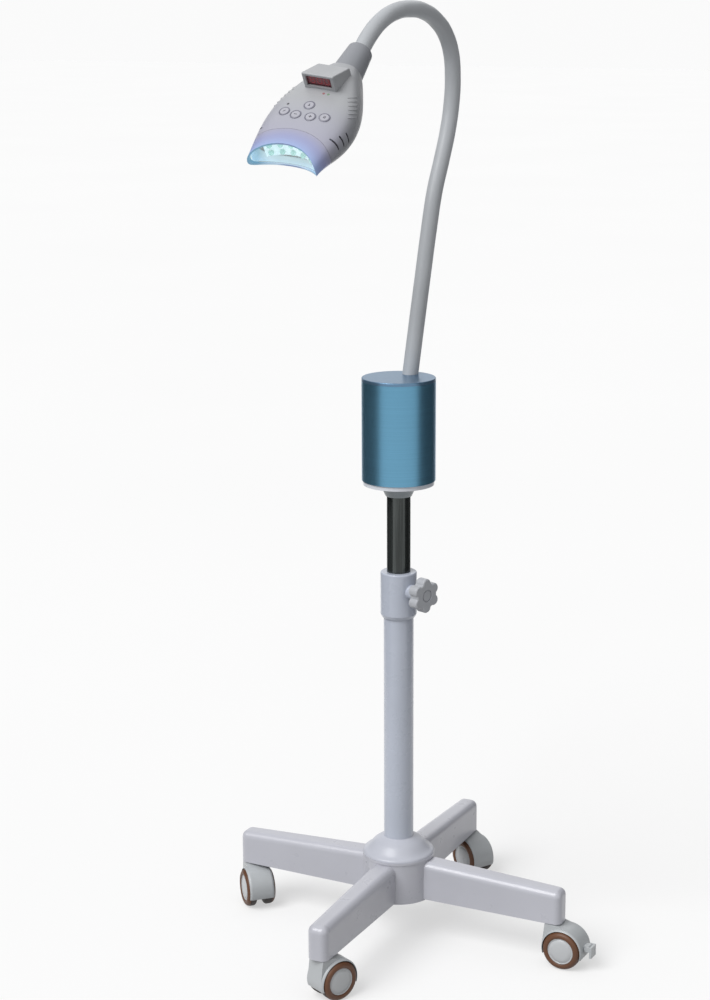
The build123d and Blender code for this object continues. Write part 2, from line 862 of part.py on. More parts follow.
def curved_slab(radius, thickness, half_width, low, high):
    body = arch(radius + thickness) - arch(radius)
    return body & block((-half_width, -arch_centre, low), (half_width, 0, high))


def make_led_board():
    board = curved_slab(led_board_radius, led_board_thickness, led_board_half_width,
                        led_board_low, led_board_high)
    return head_place() * (board & head_form(-head_wall - part_gap))


def make_led_emitters():
    emitters = []
    dome = rod(led_radius, 0, led_base_height) + Pos(0, 0, led_base_height) * (
        Sphere(led_radius) & rod(led_radius + over, 0, led_radius + over))
    for row in range(led_rows):
        for column in range(led_columns):
            angle = led_spread * (column / (led_columns - 1) - 1 / 2)
            frame_out = Pos(0, -arch_centre, led_low_row + row * led_row_pitch) * Rot(0, 0, angle)
            seat = led_board_radius - seat_gap
            emitters.append(frame_out * (Pos(0, seat, 0) * (Rot(90, 0, 0) * dome)))
    return head_place() * Compound(children=emitters)


def make_heat_sink():
    start = led_board_radius + led_board_thickness + seat_gap
    body = curved_slab(start, sink_depth, led_board_half_width, led_board_low, led_board_high)
    pitch = sink_fin + sink_gap
    gaps = int(led_board_half_width / pitch)
    for i in range(-gaps, gaps + 1):
        x = (i + 1 / 2) * pitch
        slot = block((x - sink_gap / 2, -arch_centre, -arch_centre), (x + sink_gap / 2, 0, arch_centre))
        body -= slot - arch(start + sink_plate)
    return head_place() * (body & head_form(-head_wall - part_gap))


def make_control_board():
    body = block((-board_half_width, -board_end, board_level),
                 (board_half_width, -board_start, board_level + board_thickness))
    for x, reach in button_places:
        body += post(x, reach, switch_radius, board_level, button_bottom - button_travel - seat_gap)
    return head_place() * (body & head_form(-head_wall - seat_gap))


def make_button(place):
    x, reach = place
    body = post(x, reach, button_radius, button_bottom, arch_centre) & head_form(button_stand)
    body += post(x, reach, button_flange_radius, button_bottom, button_bottom + button_flange_height)
    return head_place() * body


def make_lamps():
    foot = board_level + board_thickness + seat_gap
    lamps = [post(x, reach, lamp_radius, foot, arch_centre) & head_form(run_gap)
             for x, reach in lamp_places]
    return head_place() * Compound(children=lamps)


def hood_form(shrink):
    with BuildSketch(Plane.YZ) as profile:
        with BuildLine():
            Polyline((-hood_back - shrink, hood_base), (-hood_front + shrink, hood_base),
                     (-hood_front + hood_lean + shrink, hood_top - shrink),
                     (-hood_back - shrink, hood_rear_top - shrink), close=True)
        make_face()
    return extrude(profile.sketch, hood_half_width - shrink, both=True)


def make_hood():
    body = hood_form(0)
    crown = [e for e in body.edges() if e.center().Z > hood_rear_top]
    body = fillet(crown, hood_edge)
    body -= hood_form(hood_wall)
    window_back = -hood_front + hood_lean + 2 * hood_wall
    body -= block((-display_half_width, -hood_front - over, display_low),
                  (display_half_width, window_back, display_high))
    return head_place() * (body - head_form(seat_gap))


def make_display():
    front = -hood_front + hood_lean + hood_wall + seat_gap
    edge = display_thickness
    half = display_half_width + edge / 2
    return head_place() * block((-half, front, display_low - edge / 2),
                                (half, front + display_thickness, display_high + edge / 2))


def make_cuff():
    """Tapered boot that the neck's spindle turns in."""
    cone = loft([Circle(cuff_rear_radius), Plane.XY.offset(cuff_length) * Circle(cuff_front_radius)])
    cone = fillet(cone.edges().sort_by(Axis.Z)[0], cuff_edge)
    spindle_end = cuff_mouth + spindle_length
    cone -= rod(neck_radius + slide_gap, -over, cuff_mouth + slide_gap)
    cone -= rod(spindle_radius + run_gap, 0, spindle_end)
    pocket_end = spindle_end + retainer_thickness + part_gap
    cone -= rod(retainer_radius + part_gap, spindle_end - part_gap, pocket_end)
    cone -= rod(spindle_radius, 0, cuff_length + over)
    return head_place() * (forward_frame(0) * cone)


def fan_place():
    return Pos(0, -fan_reach, fan_level)


def make_fan_frame():
    half = fan_side / 2
    body = block((-half, -half, 0), (half, half, fan_height))
    body = fillet(body.edges().filter_by(Axis.Z), fan_post_inset)
    body -= rod(fan_bore, fan_floor, fan_height + over)
    holes = rod(fan_bore, -over, fan_floor + over) - rod(fan_hub_radius, -over, fan_floor + over)
    for i in range(fan_spoke_count):
        spoke = block((0, -fan_spoke / 2, -over), (fan_side, fan_spoke / 2, fan_floor + over))
        holes -= turned(spoke, i * 360 / fan_spoke_count)
    body -= holes
    body += rod(fan_shaft_radius, fan_floor - seat_gap, fan_height - over)
    return head_place() * (fan_place() * body)


def make_fan_rotor():
    low = fan_floor + part_gap
    high = fan_height - part_gap
    body = rod(fan_hub_radius, low, high)
    middle = (low + high) / 2
    for i in range(fan_blades):
        span = fan_rotor_radius - fan_hub_radius + fan_blade_thickness
        blade = Pos(fan_hub_radius - fan_blade_thickness + span / 2, 0, middle) * (
            Rot(fan_blade_lean, 0, 0) * Box(span, high - low, fan_blade_thickness))
        body += turned(blade, i * 360 / fan_blades)
    body &= rod(fan_rotor_radius, low, high)
    body -= rod(fan_shaft_radius + run_gap, 0, fan_height - over + part_gap)
    return head_place() * (fan_place() * body)


def all_parts():
    parts = {
        "hub": make_hub, "hub_cover": make_hub_cover, "leg_bolts": make_leg_bolts,
        "caster_stems": make_caster_stems, "column_tube": make_column, "clamp_collar": make_collar,
        "clamp_pad": make_clamp_pad, "clamp_knob": make_knob, "guide_plug": make_guide_plug,
        "mast_tube": make_mast, "housing_flange": make_flange, "base_ring": make_base_ring,
        "housing_shell": make_shell, "housing_lid": make_lid, "power_supply": make_power_supply,
        "mains_inlet": make_inlet, "power_rocker": make_rocker, "neck_root": make_neck_root,
        "head_cuff": make_cuff, "top_shell": make_top_shell, "bottom_shell": make_bottom_shell,
        "front_bezel": make_bezel, "light_window": make_window, "led_board": make_led_board,
        "led_emitters": make_led_emitters, "heat_sink": make_heat_sink, "control_board": make_control_board,
        "display_hood": make_hood, "display_window": make_display, "indicator_lamps": make_lamps,
        "fan_frame": make_fan_frame, "fan_rotor": make_fan_rotor,
        "brake_lever": lambda: make_brake_lever(0),
    }
    for i, name in enumerate(leg_names):
        parts[f"leg_{name}"] = lambda i=i: make_leg(i)
        parts[f"caster_fork_{name}"] = lambda i=i: make_caster_fork(i, i == 0)
        for side, label in ((1, "a"), (-1, "b")):
            parts[f"wheel_{name}_{label}"] = lambda i=i, side=side: make_wheel(i, side)
    for i in range(len(hinge_reaches)):
        parts[f"neck_link_{i + 1}"] = lambda i=i: make_neck_link(i + 1)
    for i, place in enumerate(button_places):
        parts[f"button_{i + 1}"] = lambda place=place: make_button(place)
    return parts


def main():
    os.makedirs("parts", exist_ok=True)
    for name, make in all_parts().items():
        export_step(make(), f"parts/{name}.step")


if __name__ == "__main__":
    main()
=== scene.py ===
"""Dresses the teeth whitening lamp on its rolling stand.

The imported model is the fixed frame: metres, Z up, the origin on the column axis at floor level,
and the light head looking along -Y. Each class below finishes one sub-assembly of the lamp.
"""

import json
import logging
import math
from dataclasses import dataclass
from enum import Enum
from typing import Callable, Sequence

import bpy
from mathutils import Matrix, Vector

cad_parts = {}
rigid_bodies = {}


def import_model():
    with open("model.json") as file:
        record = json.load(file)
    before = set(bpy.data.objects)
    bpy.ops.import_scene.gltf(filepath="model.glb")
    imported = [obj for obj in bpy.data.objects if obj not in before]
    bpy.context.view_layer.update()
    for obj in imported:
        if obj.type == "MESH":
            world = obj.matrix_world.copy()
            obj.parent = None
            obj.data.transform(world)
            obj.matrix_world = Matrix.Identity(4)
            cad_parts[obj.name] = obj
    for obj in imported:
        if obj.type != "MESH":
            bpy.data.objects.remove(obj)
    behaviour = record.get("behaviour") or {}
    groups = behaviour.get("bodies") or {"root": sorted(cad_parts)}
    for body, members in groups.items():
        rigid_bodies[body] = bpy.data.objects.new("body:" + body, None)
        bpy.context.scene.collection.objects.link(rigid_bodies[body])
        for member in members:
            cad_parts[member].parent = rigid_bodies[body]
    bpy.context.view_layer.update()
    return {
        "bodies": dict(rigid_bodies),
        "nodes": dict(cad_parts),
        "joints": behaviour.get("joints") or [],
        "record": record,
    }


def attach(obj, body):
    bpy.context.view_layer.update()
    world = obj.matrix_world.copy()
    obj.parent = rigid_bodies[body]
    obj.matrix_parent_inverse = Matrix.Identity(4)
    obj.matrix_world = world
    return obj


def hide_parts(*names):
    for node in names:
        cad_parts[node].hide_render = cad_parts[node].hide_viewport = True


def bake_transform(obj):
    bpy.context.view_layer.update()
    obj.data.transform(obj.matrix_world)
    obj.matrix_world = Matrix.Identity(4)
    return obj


LOG = logging.getLogger("whitening_lamp")
Piece = bpy.types.Object
Material = bpy.types.Material
Socket = bpy.types.NodeSocket
Colour = tuple[float, float, float]
Profile = Sequence[tuple[float, float]]
LEGS = ("right", "back", "left", "front")

# Angles under which an edge stays unrounded or is shaded as smooth.
ROUNDED_ANGLE = math.radians(35)
SMOOTH_ANGLE = math.radians(40)
TUBE_SMOOTH_ANGLE = math.radians(50)

# Radius that stands for a point on a turned form's axis, and the distance at which points merge.
AXIS_RADIUS = 1e-5
MERGE_DISTANCE = 3e-5


# Modelling helpers


def clear_selection() -> None:
    """Deselects everything, so that an operator acts on its own piece only."""
    if bpy.context.object is not None and bpy.context.object.mode != "OBJECT":
        bpy.ops.object.mode_set(mode="OBJECT")
    bpy.ops.object.select_all(action="DESELECT")


def pick(obj: Piece) -> Piece:
    """Selects one object alone and makes it active.

    Args:
        obj: The object to work on.

    Returns:
        The same object.
    """
    clear_selection()
    obj.select_set(True)
    bpy.context.view_layer.objects.active = obj
    return obj


def settle(obj: Piece, place: Matrix | None = None) -> Piece:
    """Puts a piece in its place and applies the transform to its mesh.

    Args:
        obj: The piece, modelled at the origin.
        place: Where it goes in the row frame.

    Returns:
        The piece, with its object at the origin.
    """
    if place is not None:
        obj.matrix_world = place @ obj.matrix_world
    pick(obj)
    bpy.ops.object.transform_apply(location=True, rotation=True, scale=True)
    return obj


def apply_modifiers(obj: Piece) -> None:
    """Applies every modifier on a piece, in order.

    Args:
        obj: The piece.
    """
    pick(obj)
    for modifier in list(obj.modifiers):
        bpy.ops.object.modifier_apply(modifier=modifier.name)


def soften(obj: Piece, width: float, segments: int = 2) -> Piece:
    """Rounds the sharp edges of a piece and shades it smoothly.

    Args:
        obj: The piece.
        width: Width of the rounding, in metres.
        segments: Steps in each rounding.

    Returns:
        The piece.
    """
    pick(obj)
    bevel = obj.modifiers.new("edge_rounding", "BEVEL")
    bevel.width = width
    bevel.segments = segments
    bevel.limit_method = "ANGLE"
    bevel.angle_limit = ROUNDED_ANGLE
    apply_modifiers(obj)
    bpy.ops.object.shade_smooth_by_angle(angle=SMOOTH_ANGLE)
    return obj


def turned_form(name: str, profile: Profile, segments: int = 64) -> Piece:
    """Models a turned piece on the Z axis by drawing rings out of rings.

    Args:
        name: Name of the new piece.
        profile: Places (radius, height) from one end of the outline to the other.
        segments: Sides of each ring.

    Returns:
        The new piece. An outline that starts and ends off the axis is closed into a ring.
    """
    clear_selection()
    radius, level = profile[0]
    now = max(radius, AXIS_RADIUS)
    bpy.ops.mesh.primitive_circle_add(vertices=segments, radius=now, location=(0, 0, 0))
    obj = bpy.context.object
    obj.name = name
    bpy.ops.object.mode_set(mode="EDIT")
    bpy.ops.mesh.select_all(action="SELECT")
    bpy.ops.transform.translate(value=(0, 0, level))
    closed = profile[0][0] > 0 and profile[-1][0] > 0
    steps = list(profile[1:]) + ([profile[0]] if closed else [])
    for radius, height in steps:
        target = max(radius, AXIS_RADIUS)
        bpy.ops.mesh.extrude_region_move(TRANSFORM_OT_translate={"value": (0, 0, height - level)})
        share = target / now
        bpy.ops.transform.resize(value=(share, share, 1), center_override=(0, 0, height))
        now, level = target, height
    bpy.ops.mesh.select_all(action="SELECT")
    bpy.ops.mesh.remove_doubles(threshold=MERGE_DISTANCE)
    bpy.ops.mesh.normals_make_consistent(inside=False)
    bpy.ops.object.mode_set(mode="OBJECT")
    bpy.ops.object.shade_smooth_by_angle(angle=SMOOTH_ANGLE)
    return obj


def bar(name: str, size: Sequence[float], centre: Sequence[float] = (0, 0, 0)) -> Piece:
    """Models a bar of a given size, ready to be shaped further.

    Args:
        name: Name of the new piece.
        size: Its three side lengths.
        centre: Its middle.

    Returns:
        The new piece.
    """
    clear_selection()
    bpy.ops.mesh.primitive_cube_add(size=1, location=centre, scale=size)
    obj = bpy.context.object
    obj.name = name
    return settle(obj)


def drawn_tube(name: str, points: Sequence[Vector], radius: float, sides: int, smooth: int,
               ways: tuple[Vector, Vector] | None = None) -> Piece:
    """Models a round bar or sleeve along a smooth line.

    Args:
        name: Name of the new piece.
        points: Places that the line goes through.
        radius: Radius of the tube.
        sides: Roundness of the tube, as Blender's bevel resolution.
        smooth: Steps between two places.
        ways: The line's directions at its ends, where other lengths of the tube go on. None
            closes the ends instead.

    Returns:
        The new piece as a mesh.
    """
    clear_selection()
    bpy.ops.curve.primitive_bezier_curve_add()
    obj = bpy.context.object
    obj.name = name
    line = obj.data.splines[0]
    line.bezier_points.add(len(points) - 2)
    for knot, place in zip(line.bezier_points, points):
        knot.co = place
        knot.handle_left_type = "AUTO"
        knot.handle_right_type = "AUTO"
    for index, mate, way in ((0, 1, ways[0]), (-1, -2, ways[1])) if ways else ():
        knot = line.bezier_points[index]
        pull = way.normalized() * (line.bezier_points[mate].co - knot.co).length / 3
        knot.handle_left_type = knot.handle_right_type = "FREE"
        knot.handle_left, knot.handle_right = knot.co - pull, knot.co + pull
    obj.data.resolution_u = smooth
    obj.data.bevel_depth = radius
    obj.data.bevel_resolution = sides
    obj.data.use_fill_caps = ways is None
    obj.data.twist_mode = "MINIMUM"
    bpy.ops.object.convert(target="MESH")
    obj = bpy.context.object
    bpy.ops.object.shade_smooth_by_angle(angle=TUBE_SMOOTH_ANGLE)
    return obj


def copied(obj: Piece, name: str, place: Matrix) -> Piece:
    """Copies a modelled piece with its own mesh and puts the copy in its place.

    Args:
        obj: The piece to copy, modelled at the origin.
        name: Name of the copy.
        place: Where the copy goes.

    Returns:
        The copy.
    """
    twin = obj.copy()
    twin.data = obj.data.copy()
    twin.name = name
    bpy.context.scene.collection.objects.link(twin)
    return settle(twin, place)


def frame_of(origin: Sequence[float], x_dir: Sequence[float], z_dir: Sequence[float]) -> Matrix:
    """Makes the matrix of a frame.

    Args:
        origin: Its origin.
        x_dir: About where its X points. What of it lies along Z is taken off.
        z_dir: Where its Z points.

    Returns:
        The matrix from the frame to the row frame.
    """
    z = Vector(z_dir).normalized()
    x = Vector(x_dir).normalized()
    x = (x - z * x.dot(z)).normalized()
    y = z.cross(x)
    turn = Matrix((x, y, z)).transposed().to_4x4()
    return Matrix.Translation(Vector(origin)) @ turn


# Materials


class ShaderNet:
    """A material's node tree with short helpers that add and join nodes."""

    def __init__(self, name: str) -> None:
        """Starts a material with one Principled shader and Object coordinates.

        Args:
            name: Name of the material.
        """
        self.material = bpy.data.materials.new(name)
        self.material.use_nodes = True
        self.tree = self.material.node_tree
        self.shader = self.tree.nodes["Principled BSDF"]
        self.place = self.add("ShaderNodeTexCoord").outputs["Object"]

    def add(self, kind: str, **settings: object) -> bpy.types.Node:
        """Adds a node.

        Args:
            kind: Its type.
            **settings: Its properties.

        Returns:
            The node.
        """
        node = self.tree.nodes.new(kind)
        for key, value in settings.items():
            setattr(node, key, value)
        return node

    def join(self, source: Socket, target: Socket) -> None:
        """Links one socket to another."""
        self.tree.links.new(source, target)

    def mapped(self, stretch: Sequence[float] = (1, 1, 1), centre: Sequence[float] = (0, 0, 0),
               turn: Sequence[float] = (0, 0, 0)) -> Socket:
        """Object coordinates centred, turned and stretched.

        Args:
            stretch: Scale along each axis.
            centre: Place in the row frame that becomes the origin.
            turn: Euler turn, in radians.

        Returns:
            The socket of the changed coordinates.
        """
        node = self.add("ShaderNodeMapping", vector_type="TEXTURE")
        node.inputs["Location"].default_value = centre
        node.inputs["Rotation"].default_value = turn
        self.join(self.place, node.inputs["Vector"])
        scale = self.add("ShaderNodeVectorMath", operation="MULTIPLY")
        scale.inputs[1].default_value = stretch
        self.join(node.outputs["Vector"], scale.inputs[0])
        return scale.outputs["Vector"]

    def noise(self, scale: float, detail: float = 2.0, stretch: Sequence[float] = (1, 1, 1),
              rough: float = 0.5) -> Socket:
        """Lays a noise pattern on Object coordinates.

        Args:
            scale: Its scale.
            detail: Its detail.
            stretch: Scale along each axis.
            rough: Its roughness.

        Returns:
            The socket of its value.
        """
        node = self.add("ShaderNodeTexNoise")
        node.inputs["Scale"].default_value = scale
        node.inputs["Detail"].default_value = detail
        node.inputs["Roughness"].default_value = rough
        self.join(self.mapped(stretch), node.inputs["Vector"])
        return node.outputs["Fac"]

    def ramp(self, source: Socket, stops: Sequence[tuple[float, Colour]]) -> Socket:
        """Turns a value into a colour.

        Args:
            source: The value.
            stops: The ramp's stops (place, colour).

        Returns:
            The socket of the colour.
        """
        node = self.add("ShaderNodeValToRGB")
        band = node.color_ramp
        while len(band.elements) < len(stops):
            band.elements.new(0.5)
        for element, (place, colour) in zip(band.elements, stops):
            element.position = place
            element.color = (*colour, 1.0)
        self.join(source, node.inputs["Fac"])
        return node.outputs["Color"]

    def span(self, source: Socket, low: float, high: float, to_low: float = 0.0,
             to_high: float = 1.0) -> Socket:
        """Maps a value from one range to another, clamped.

        Args:
            source: The value.
            low: Where the first range starts.
            high: Where it ends.
            to_low: Where the second range starts.
            to_high: Where it ends.

        Returns:
            The socket of the new value.
        """
        node = self.add("ShaderNodeMapRange")
        ends = {"From Min": low, "From Max": high, "To Min": to_low, "To Max": to_high}
        for key, value in ends.items():
            node.inputs[key].default_value = value
        self.join(source, node.inputs["Value"])
        return node.outputs["Result"]

    def combine(self, operation: str, first: Socket,
                second: Socket | float) -> Socket:
        """Does one step of arithmetic.

        Args:
            operation: The step.
            first: Its first value.
            second: Its second value, as a socket or a number.

        Returns:
            The socket of the result.
        """
        node = self.add("ShaderNodeMath", operation=operation)
        self.join(first, node.inputs[0])
        if isinstance(second, (int, float)):
            node.inputs[1].default_value = second
        else:
            self.join(second, node.inputs[1])
        return node.outputs["Value"]

    def mix(self, share: Socket, first: Socket | Colour,
            second: Socket | Colour) -> Socket:
        """Mixes two colours.

        Args:
            share: How much of the second colour there is.
            first: The first colour, as a socket or plain.
            second: The second colour.

        Returns:
            The socket of the mix.
        """
        node = self.add("ShaderNodeMix", data_type="RGBA")
        self.join(share, node.inputs[0])
        for value, index in ((first, 6), (second, 7)):
            if isinstance(value, tuple):
                node.inputs[index].default_value = (*value, 1.0)
            else:
                self.join(value, node.inputs[index])
        return node.outputs[2]

    def mottle(self, scale: float, detail: float, first: Colour, second: Colour,
               low: float = 0.3, high: float = 0.7) -> Socket:
        """Lets two colours pass softly into each other over the surface.

        Args:
            scale: Scale of the noise that parts them.
            detail: Its detail.
            first: The colour where the noise is low.
            second: The colour where it is high.
            low: Where the change starts.
            high: Where it ends.

        Returns:
            The socket of the colour.
        """
        return self.ramp(self.noise(scale, detail), ((low, first), (high, second)))

    def pattern(self, kind: str, scale: float) -> Socket:
        """Lays a woven or brick pattern on Object coordinates.

        Args:
            kind: Type of the texture node.
            scale: Its scale.

        Returns:
            The socket of its value.
        """
        node = self.add(kind)
        node.inputs["Scale"].default_value = scale
        self.join(self.mapped(), node.inputs["Vector"])
        return node.outputs["Fac"]

    def relief(self, height: Socket, depth: float) -> None:
        """Adds fine surface relief.

        Args:
            height: The pattern of its heights.
            depth: Its depth in metres.
        """
        node = self.add("ShaderNodeBump")
        node.inputs["Strength"].default_value = 1.0
        node.inputs["Distance"].default_value = depth
        self.join(height, node.inputs["Height"])
        self.join(node.outputs["Normal"], self.shader.inputs["Normal"])

    def paint(self, colour: Socket, roughness: Socket | float) -> None:
        """Gives the shader its colour and roughness.

        Args:
            colour: The colour.
            roughness: The roughness, as a socket or a number.
        """
        self.join(colour, self.shader.inputs["Base Color"])
        if isinstance(roughness, (int, float)):
            self.shader.inputs["Roughness"].default_value = roughness
        else:
            self.join(roughness, self.shader.inputs["Roughness"])

    def glow(self, colour: Socket, strength: float) -> None:
        """Gives the shader light of its own."""
        self.join(colour, self.shader.inputs["Emission Color"])
        self.shader.inputs["Emission Strength"].default_value = strength

    def constant(self, **values: float) -> None:
        """Sets plain values on the shader's own sockets, by their names with underscores."""
        for key, value in values.items():
            self.shader.inputs[key.replace("_", " ")].default_value = value


def shade(colour: Colour, factor: float) -> Colour:
    """A colour made lighter or darker by a factor."""
    return tuple(min(1.0, c * factor) for c in colour)


@dataclass(frozen=True)
class CoatedFinish:
    """Paint or moulded plastic: soft tone changes, fine grain and small gloss changes.

    Attributes:
        name: Name of the material.
        colour: Its middle colour.
        roughness: Its middle roughness.
        grain: Size of the surface grain, as noise scale.
        grain_depth: Depth of the grain in metres.
        coat: Weight of the clear gloss on top.
        tone: How far the tone wanders, as a share.
    """

    name: str
    colour: Colour
    roughness: float = 0.35
    grain: float = 900.0
    grain_depth: float = 0.00002
    coat: float = 0.0
    tone: float = 0.05

    def make(self) -> Material:
        """Builds the material.

        Returns:
            The material.
        """
        net = ShaderNet(self.name)
        darker, paler = (shade(self.colour, 1 + side * self.tone) for side in (-1, 1))
        colour = net.mottle(9.0, 3.0, darker, paler, 0.25, 0.75)
        smudge = net.noise(38.0, 5.0, rough=0.6)
        rough = net.span(smudge, 0.3, 0.7, self.roughness * 0.85, self.roughness * 1.2)
        net.paint(colour, rough)
        net.relief(net.noise(self.grain, 2.0), self.grain_depth)
        net.constant(Coat_Weight=self.coat, Coat_Roughness=0.12, IOR=1.48)
        return net.material


@dataclass(frozen=True)
class MetalFinish:
    """Bare, plated or anodised metal with fine drawn or turned lines.

    Attributes:
        name: Name of the material.
        colour: Its colour.
        roughness: Its middle roughness.
        stretch: Scale of the line pattern along each axis.
        line_depth: Depth of the lines in metres.
        metallic: How far it is bare metal.
        tone: How far the lines change the tone.
    """

    name: str
    colour: Colour
    roughness: float = 0.25
    stretch: tuple[float, float, float] = (1.0, 1.0, 60.0)
    line_depth: float = 0.00001
    metallic: float = 1.0
    tone: float = 0.12

    def make(self) -> Material:
        """Builds the material.

        Returns:
            The material.
        """
        net = ShaderNet(self.name)
        lines = net.noise(30.0, 6.0, self.stretch, 0.7)
        broad = net.span(net.noise(14.0, 2.0), 0.2, 0.8, 0.7, 1.0)
        mixed = net.combine("MULTIPLY", net.span(lines, 0.25, 0.75), broad)
        darker, paler = (shade(self.colour, 1 + side * self.tone) for side in (-1, 1))
        gloss = net.span(lines, 0.2, 0.8, self.roughness * 0.8, self.roughness * 1.25)
        net.paint(net.ramp(mixed, ((0.0, darker), (1.0, paler))), gloss)
        net.relief(lines, self.line_depth)
        net.constant(Metallic=self.metallic)
        return net.material


class Finish(Enum):
    """The lamp's finishes, by the part of the lamp that each one dresses."""

    COLUMN_PAINT = CoatedFinish("column_paint", (0.46, 0.495, 0.575), 0.28, 420.0, 0.00002, 0.35)
    LEG_PAINT = CoatedFinish("leg_paint", (0.48, 0.485, 0.535), 0.30, 300.0, 0.00002, 0.3)
    HUB_PLASTIC = CoatedFinish("hub_plastic", (0.485, 0.50, 0.56), 0.36, 700.0, 0.00002, 0.15)
    KNOB_PLASTIC = CoatedFinish("knob_plastic", (0.43, 0.445, 0.475), 0.38, 1500.0, 0.00004, 0.1)
    CASTER_PLASTIC = CoatedFinish("caster_plastic", (0.43, 0.45, 0.465), 0.34, 1500.0, 0.00004, 0.1)
    CAP_PLASTIC = CoatedFinish("wheel_cap_plastic", (0.50, 0.515, 0.53), 0.30, 1400.0, 0.00003, 0.1)
    RING_RUBBER = CoatedFinish(
        "brown_ring_rubber", (0.105, 0.042, 0.018), 0.45, 1800.0, 0.00005, 0.0, 0.25)
    TREAD_RUBBER = CoatedFinish(
        "dark_tread_rubber", (0.030, 0.022, 0.020), 0.55, 1500.0, 0.00006, 0.0, 0.25)
    NECK_SLEEVE = CoatedFinish("neck_sleeve", (0.44, 0.46, 0.485), 0.44, 600.0, 0.00003, 0.05, 0.09)
    CUFF_PLASTIC = CoatedFinish("cuff_plastic", (0.26, 0.27, 0.295), 0.40, 1600.0, 0.00004)
    COLLAR_PLASTIC = CoatedFinish(
        "button_collar_plastic", (0.20, 0.20, 0.25), 0.35, 1500.0, 0.00003)
    BUTTON_PLASTIC = CoatedFinish("button_plastic", (0.42, 0.42, 0.47), 0.35, 1600.0, 0.00003)
    MARK_INK = CoatedFinish("key_mark_ink", (0.05, 0.05, 0.065), 0.45, 1600.0, 0.00001)
    FLANGE_PLASTIC = CoatedFinish(
        "flange_plastic", (0.27, 0.305, 0.325), 0.34, 1300.0, 0.00003, 0.2)
    PALE_RING = CoatedFinish("pale_ring_plastic", (0.66, 0.68, 0.73), 0.3, 1200.0, 0.00002, 0.2)
    NYLON = CoatedFinish("black_nylon", (0.02, 0.02, 0.022), 0.5, 1500.0, 0.00004, 0.0, 0.2)
    BLACK_PLASTIC = CoatedFinish(
        "black_plastic", (0.018, 0.018, 0.02), 0.42, 1700.0, 0.00004, 0.0, 0.2)
    SWITCH_GLOSS = CoatedFinish("rocker_gloss", (0.02, 0.02, 0.02), 0.18, 900.0, 0.00001, 0.3, 0.2)
    STEEL = MetalFinish("zinc_steel", (0.58, 0.58, 0.6), 0.3, (8.0, 8.0, 20.0))
    MAST = MetalFinish(
        "plated_mast", (0.078, 0.087, 0.085), 0.17, (7.0, 7.0, 0.10), 0.000006, 0.68, 0.95)
    HOUSING_BLUE = MetalFinish(
        "blue_anodised", (0.145, 0.35, 0.51), 0.36, (0.12, 0.12, 30.0), 0.000008, 0.88, 0.12)
    LID_BLUE = MetalFinish(
        "lid_blue", (0.145, 0.255, 0.385), 0.32, (14.0, 14.0, 14.0), 0.00001, 0.7, 0.10)
    SINK_METAL = MetalFinish("sink_aluminium", (0.62, 0.62, 0.64), 0.32, (1.0, 12.0, 12.0))
    SUPPLY_METAL = MetalFinish("supply_case", (0.42, 0.42, 0.44), 0.4, (10.0, 10.0, 1.0))


Look = Finish | Callable[[], Material]


class Workshop:
    """Makes each material once and dresses nodes and pieces with it."""

    def __init__(self, frame: dict) -> None:
        """Keeps the loaded frame."""
        self.frame = frame
        self.stock: dict[str, Material] = {}

    def joint(self, name: str) -> dict:
        """The CAD joint of a name."""
        return next(j for j in self.frame["joints"] if j["name"] == name)

    def material(self, finish: Look) -> Material:
        """Finds a finish's material, and makes it on first use.

        Args:
            finish: The finish.

        Returns:
            Its material.
        """
        key = finish.name if isinstance(finish, Finish) else finish.__qualname__
        if key not in self.stock:
            self.stock[key] = finish.value.make() if isinstance(finish, Finish) else finish()
        return self.stock[key]

    def dress(self, finish: Look, *nodes: str) -> None:
        """Gives CAD nodes a finish through their material slots.

        Args:
            finish: The finish.
            *nodes: Names of the nodes.
        """
        for node in nodes:
            for entry in self.frame["nodes"][node].material_slots:
                entry.material = self.material(finish)
            LOG.info("dressed %s with %s", node, self.material(finish).name)

    def piece(self, obj: Piece, finish: Look, body: str, slot: str, *replaced: str) -> Piece:
        """Finishes a new piece and hangs it on its body.

        Args:
            obj: The piece, in its place.
            finish: Its finish.
            body: The CAD body that it rides on, or nothing for a piece that hangs on no body.
            slot: The record's material slot that it takes; not used.
            *replaced: CAD nodes that it stands for.

        Returns:
            The piece.
        """
        obj.data.materials.clear()
        obj.data.materials.append(self.material(finish))
        if body:
            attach(obj, body)
        if replaced:
            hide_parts(*replaced)
        LOG.info("made %s on %s", obj.name, body or "two bodies")
        return obj


# Rolling base


@dataclass
class RollingBase:
    """Hub, legs and what is fixed to them.

    Attributes:
        shop: Where finishes come from.
    """

    shop: Workshop

    def build(self) -> None:
        """Dresses the base."""
        self.shop.dress(Finish.LEG_PAINT, "hub", *[f"leg_{n}" for n in LEGS])
        self.shop.dress(Finish.HUB_PLASTIC, "hub_cover")
        self.shop.dress(Finish.STEEL, "leg_bolts", "caster_stems")


